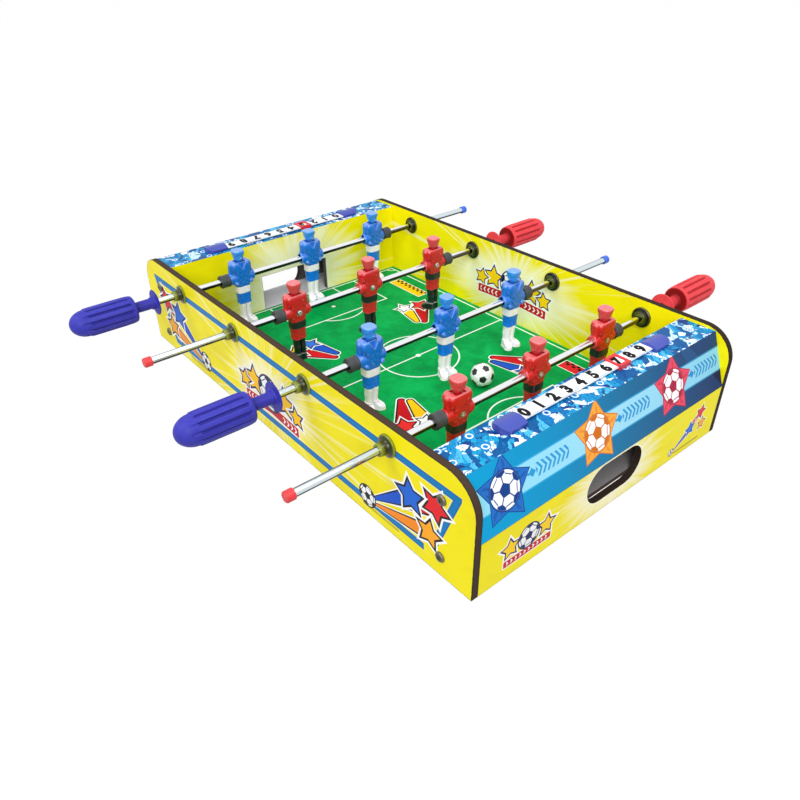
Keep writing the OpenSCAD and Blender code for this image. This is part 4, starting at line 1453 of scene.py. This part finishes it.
def project(points, field, origin, cell):
    """move points onto the surface along the slope of the field, in two steps"""
    for _ in range(2):
        at = (points - origin) / cell
        low = np.clip(np.floor(at).astype(int), 0, np.array(field.shape) - 2)
        part = at - low
        value = np.zeros(len(points))
        slope = np.zeros_like(points)
        for corner in CELL_CORNERS:
            sample = field[tuple((low + corner).T)]
            weight = np.where(corner, part, 1 - part)
            value += sample * weight.prod(axis=1)
            for axis in range(3):
                others = np.delete(weight, axis, axis=1).prod(axis=1)
                slope[:, axis] += sample * others * (1 if corner[axis] else -1)
        slope /= cell
        step = slope * (value / ((slope**2).sum(1) + 1e-9))[:, None]
        length = np.linalg.norm(step, axis=1)
        step *= np.minimum(1, 0.3 * cell / np.maximum(length, 1e-9))[:, None]
        points = points - step
    return points


CELL = 0.42
grid = [np.arange(start, stop, CELL)
        for start, stop in ((-10.1, 11.6), (-14.03, 14.2), (-54.3, 32.6))]
origin = np.array([axis[0] for axis in grid])
field = figure(*np.meshgrid(*grid, indexing="ij"))
points, quads = surface_nets(field, origin, CELL)
points = project(points, field, origin, CELL)
player_meshes = {color: make_mesh("player_figure_" + color, points, quads.tolist(),
                                  ["player_" + color])
                 for color in ("blue", "red")}
for i in range(1, 5):
    color = "blue" if i in (1, 3) else "red"
    rod_x = middle(f"rod_{i}_tube")[0]
    for letter in "abc":
        node = f"rod_{i}_player_{letter}"
        place(f"rod_{i}_figure_{letter}", player_meshes[color], f"rod_{i}", node,
              "player_" + color, (rod_x, middle(node)[1], ROD_Z),
              0.0 if color == "blue" else math.pi)

for i in range(1, 5):
    front = box_mm(f"rod_{i}_handle")[0][1] < 0
    dress(f"rod_{i}_tube", "rod_chrome")
    dress(f"rod_{i}_end_cap", "cap_blue" if front else "cap_red", bevel=0.5, segments=3)
    dress(f"rod_{i}_player_screws", "bright_screw", bevel=0.1)


# ---------------------------------------------------------------- score digits
def digit_outline(name, digit):
    """centred vertices in mm, and faces, of one thickened digit"""
    curve = bpy.data.curves.new(f"digit_{name}_{digit}", "FONT")
    curve.body = str(digit)
    curve.size = 13.2 * MM
    curve.bevel_depth = 0.95 * MM
    curve.bevel_resolution = 1
    curve.align_x, curve.align_y = "CENTER", "CENTER"
    curve.resolution_u = 6
    text = bpy.data.objects.new(f"digit_{name}_{digit}", curve)
    bpy.context.scene.collection.objects.link(text)
    bpy.context.view_layer.update()
    depsgraph = bpy.context.evaluated_depsgraph_get()
    mesh = bpy.data.meshes.new_from_object(text.evaluated_get(depsgraph))
    bpy.data.objects.remove(text)
    verts = np.array([vert.co for vert in mesh.vertices]) * 1000.0
    verts = verts - (verts.min(0) + verts.max(0)) / 2
    faces = [tuple(polygon.vertices) for polygon in mesh.polygons]
    bpy.data.meshes.remove(mesh)
    return verts, faces


for end, name in ENDS:
    rail_x = middle("score_rail_" + name)[0]
    top = box_mm("score_rail_" + name)[1][2]
    digits = []
    for digit in range(10):
        flat, faces = digit_outline(name, digit)
        # the text's right is +Y and its top is -X at the right end; nearly flat in Z
        verts = np.zeros((len(flat), 3))
        verts[:, 0] = rail_x - flat[:, 1] * end
        verts[:, 1] = (digit - 4.5) * DIGIT_PITCH * end + flat[:, 0] * end
        verts[:, 2] = top + 0.04 * flat[:, 2]
        digits.append((verts, faces))
    mesh = make_mesh(f"score_digits_{name}", *merge(digits), ["digit_ink"], sharp=30)
    mesh.polygons.foreach_set("use_smooth", [False] * len(mesh.polygons))
    place(f"score_digits_{name}", mesh, "cabinet", None, "scale_plastic")


# ---------------------------------------------------------------- stage (metres from here)
def between(mask, low, high):
    return muladd(mask, high - low, low)


# the floor glows brighter to the camera and in reflections than as a light
point = begin("floor_pale")[3]
mottle = noise(point, 0.004, detail=3.0)
shader = finish(blend(mottle, (0.075, 0.075, 0.075, 1.0), (0.08, 0.08, 0.08, 1.0)),
                rough=0.9, spec=0.0)
shader.inputs["Emission Color"].default_value = (1.0, 1.0, 1.0, 1.0)
rays = new("ShaderNodeLightPath").outputs
seen = most(Number(rays["Is Camera Ray"]), Number(rays["Is Glossy Ray"]) * 0.9)
feed(shader.inputs["Emission Strength"], between(seen, low=0.46, high=0.92))

FLOOR_HALF = 40
mesh = bpy.data.meshes.new("floor")
mesh.from_pydata([(x * FLOOR_HALF, y * FLOOR_HALF, 0)
                  for x, y in ((-1, -1), (1, -1), (1, 1), (-1, 1))], [], [(0, 1, 2, 3)])
mesh.materials.append(MATERIALS["floor_pale"])
floor = bpy.data.objects.new("floor", mesh)
floor.location = (0, 0, -0.0002)
bpy.context.scene.collection.objects.link(floor)

world = bpy.data.worlds.new("studio")
bpy.context.scene.world = world
world.use_nodes = True
tree = world.node_tree
background = tree.nodes["Background"]
background.inputs[0].default_value = (1.0, 1.0, 1.0, 1.0)
rays = new("ShaderNodeLightPath").outputs
seen = most(Number(rays["Is Glossy Ray"]), Number(rays["Is Camera Ray"]))
feed(background.inputs[1], between(seen, low=0.42, high=1.1))


def light(name, kind, energy, location, target=(0, 0, 0.05), area=None, angle=None):
    """area is the size of a rectangle, angle the width of a sun in degrees"""
    lamp = bpy.data.lights.new(name, kind)
    lamp.energy = energy
    if area:
        lamp.shape = "RECTANGLE"
        lamp.size, lamp.size_y = area
    if angle:
        lamp.angle = math.radians(angle)
    holder = bpy.data.objects.new(name, lamp)
    bpy.context.scene.collection.objects.link(holder)
    holder.location = location
    aim = Vector(target) - Vector(location)
    holder.rotation_euler = aim.to_track_quat("-Z", "Y").to_euler()


light("key_sun", "SUN", energy=1.0, location=(-0.5, -1.2, 1.7), angle=36)
light("fill_sun", "SUN", energy=1.8, location=(1.35, -1.2, 1.25), angle=34)
light("card", "AREA", energy=1.8, location=(0.36, -0.10, 0.60), target=(-0.21, 0.02, 0.05),
      area=(0.35, 0.35))
light("softbox", "AREA", energy=3.0, location=(-0.35, -0.15, 1.35), area=(0.9, 0.6))

# ---------------------------------------------------------------- camera
CAMERA_PLACE = (0.477334, -0.398978, 0.384297)
heading = math.radians(50.688)      # from +Y towards -X
tilt = math.radians(33.557)         # downwards
roll = math.radians(-0.706)
forward = Vector((-math.sin(heading) * math.cos(tilt), math.cos(heading) * math.cos(tilt),
                  -math.sin(tilt)))
level = Vector((math.cos(heading), math.sin(heading), 0))
upright = level.cross(forward)
right = level * math.cos(roll) + upright * math.sin(roll)
up = upright * math.cos(roll) - level * math.sin(roll)
lens = bpy.data.cameras.new("camera")
lens.sensor_fit = "HORIZONTAL"
lens.sensor_width = 36.0
lens.lens = 31.72725
lens.clip_start, lens.clip_end = 0.01, 200
camera = bpy.data.objects.new("camera", lens)
bpy.context.scene.collection.objects.link(camera)
pose = Matrix.Identity(4)
for i in range(3):
    pose[i] = (right[i], up[i], -forward[i], CAMERA_PLACE[i])
camera.matrix_world = pose
scene = bpy.context.scene
scene.camera = camera
scene.view_settings.view_transform = "Standard"
scene.view_settings.look = "None"
scene.view_settings.exposure = 0.0
scene.view_settings.gamma = 1.0
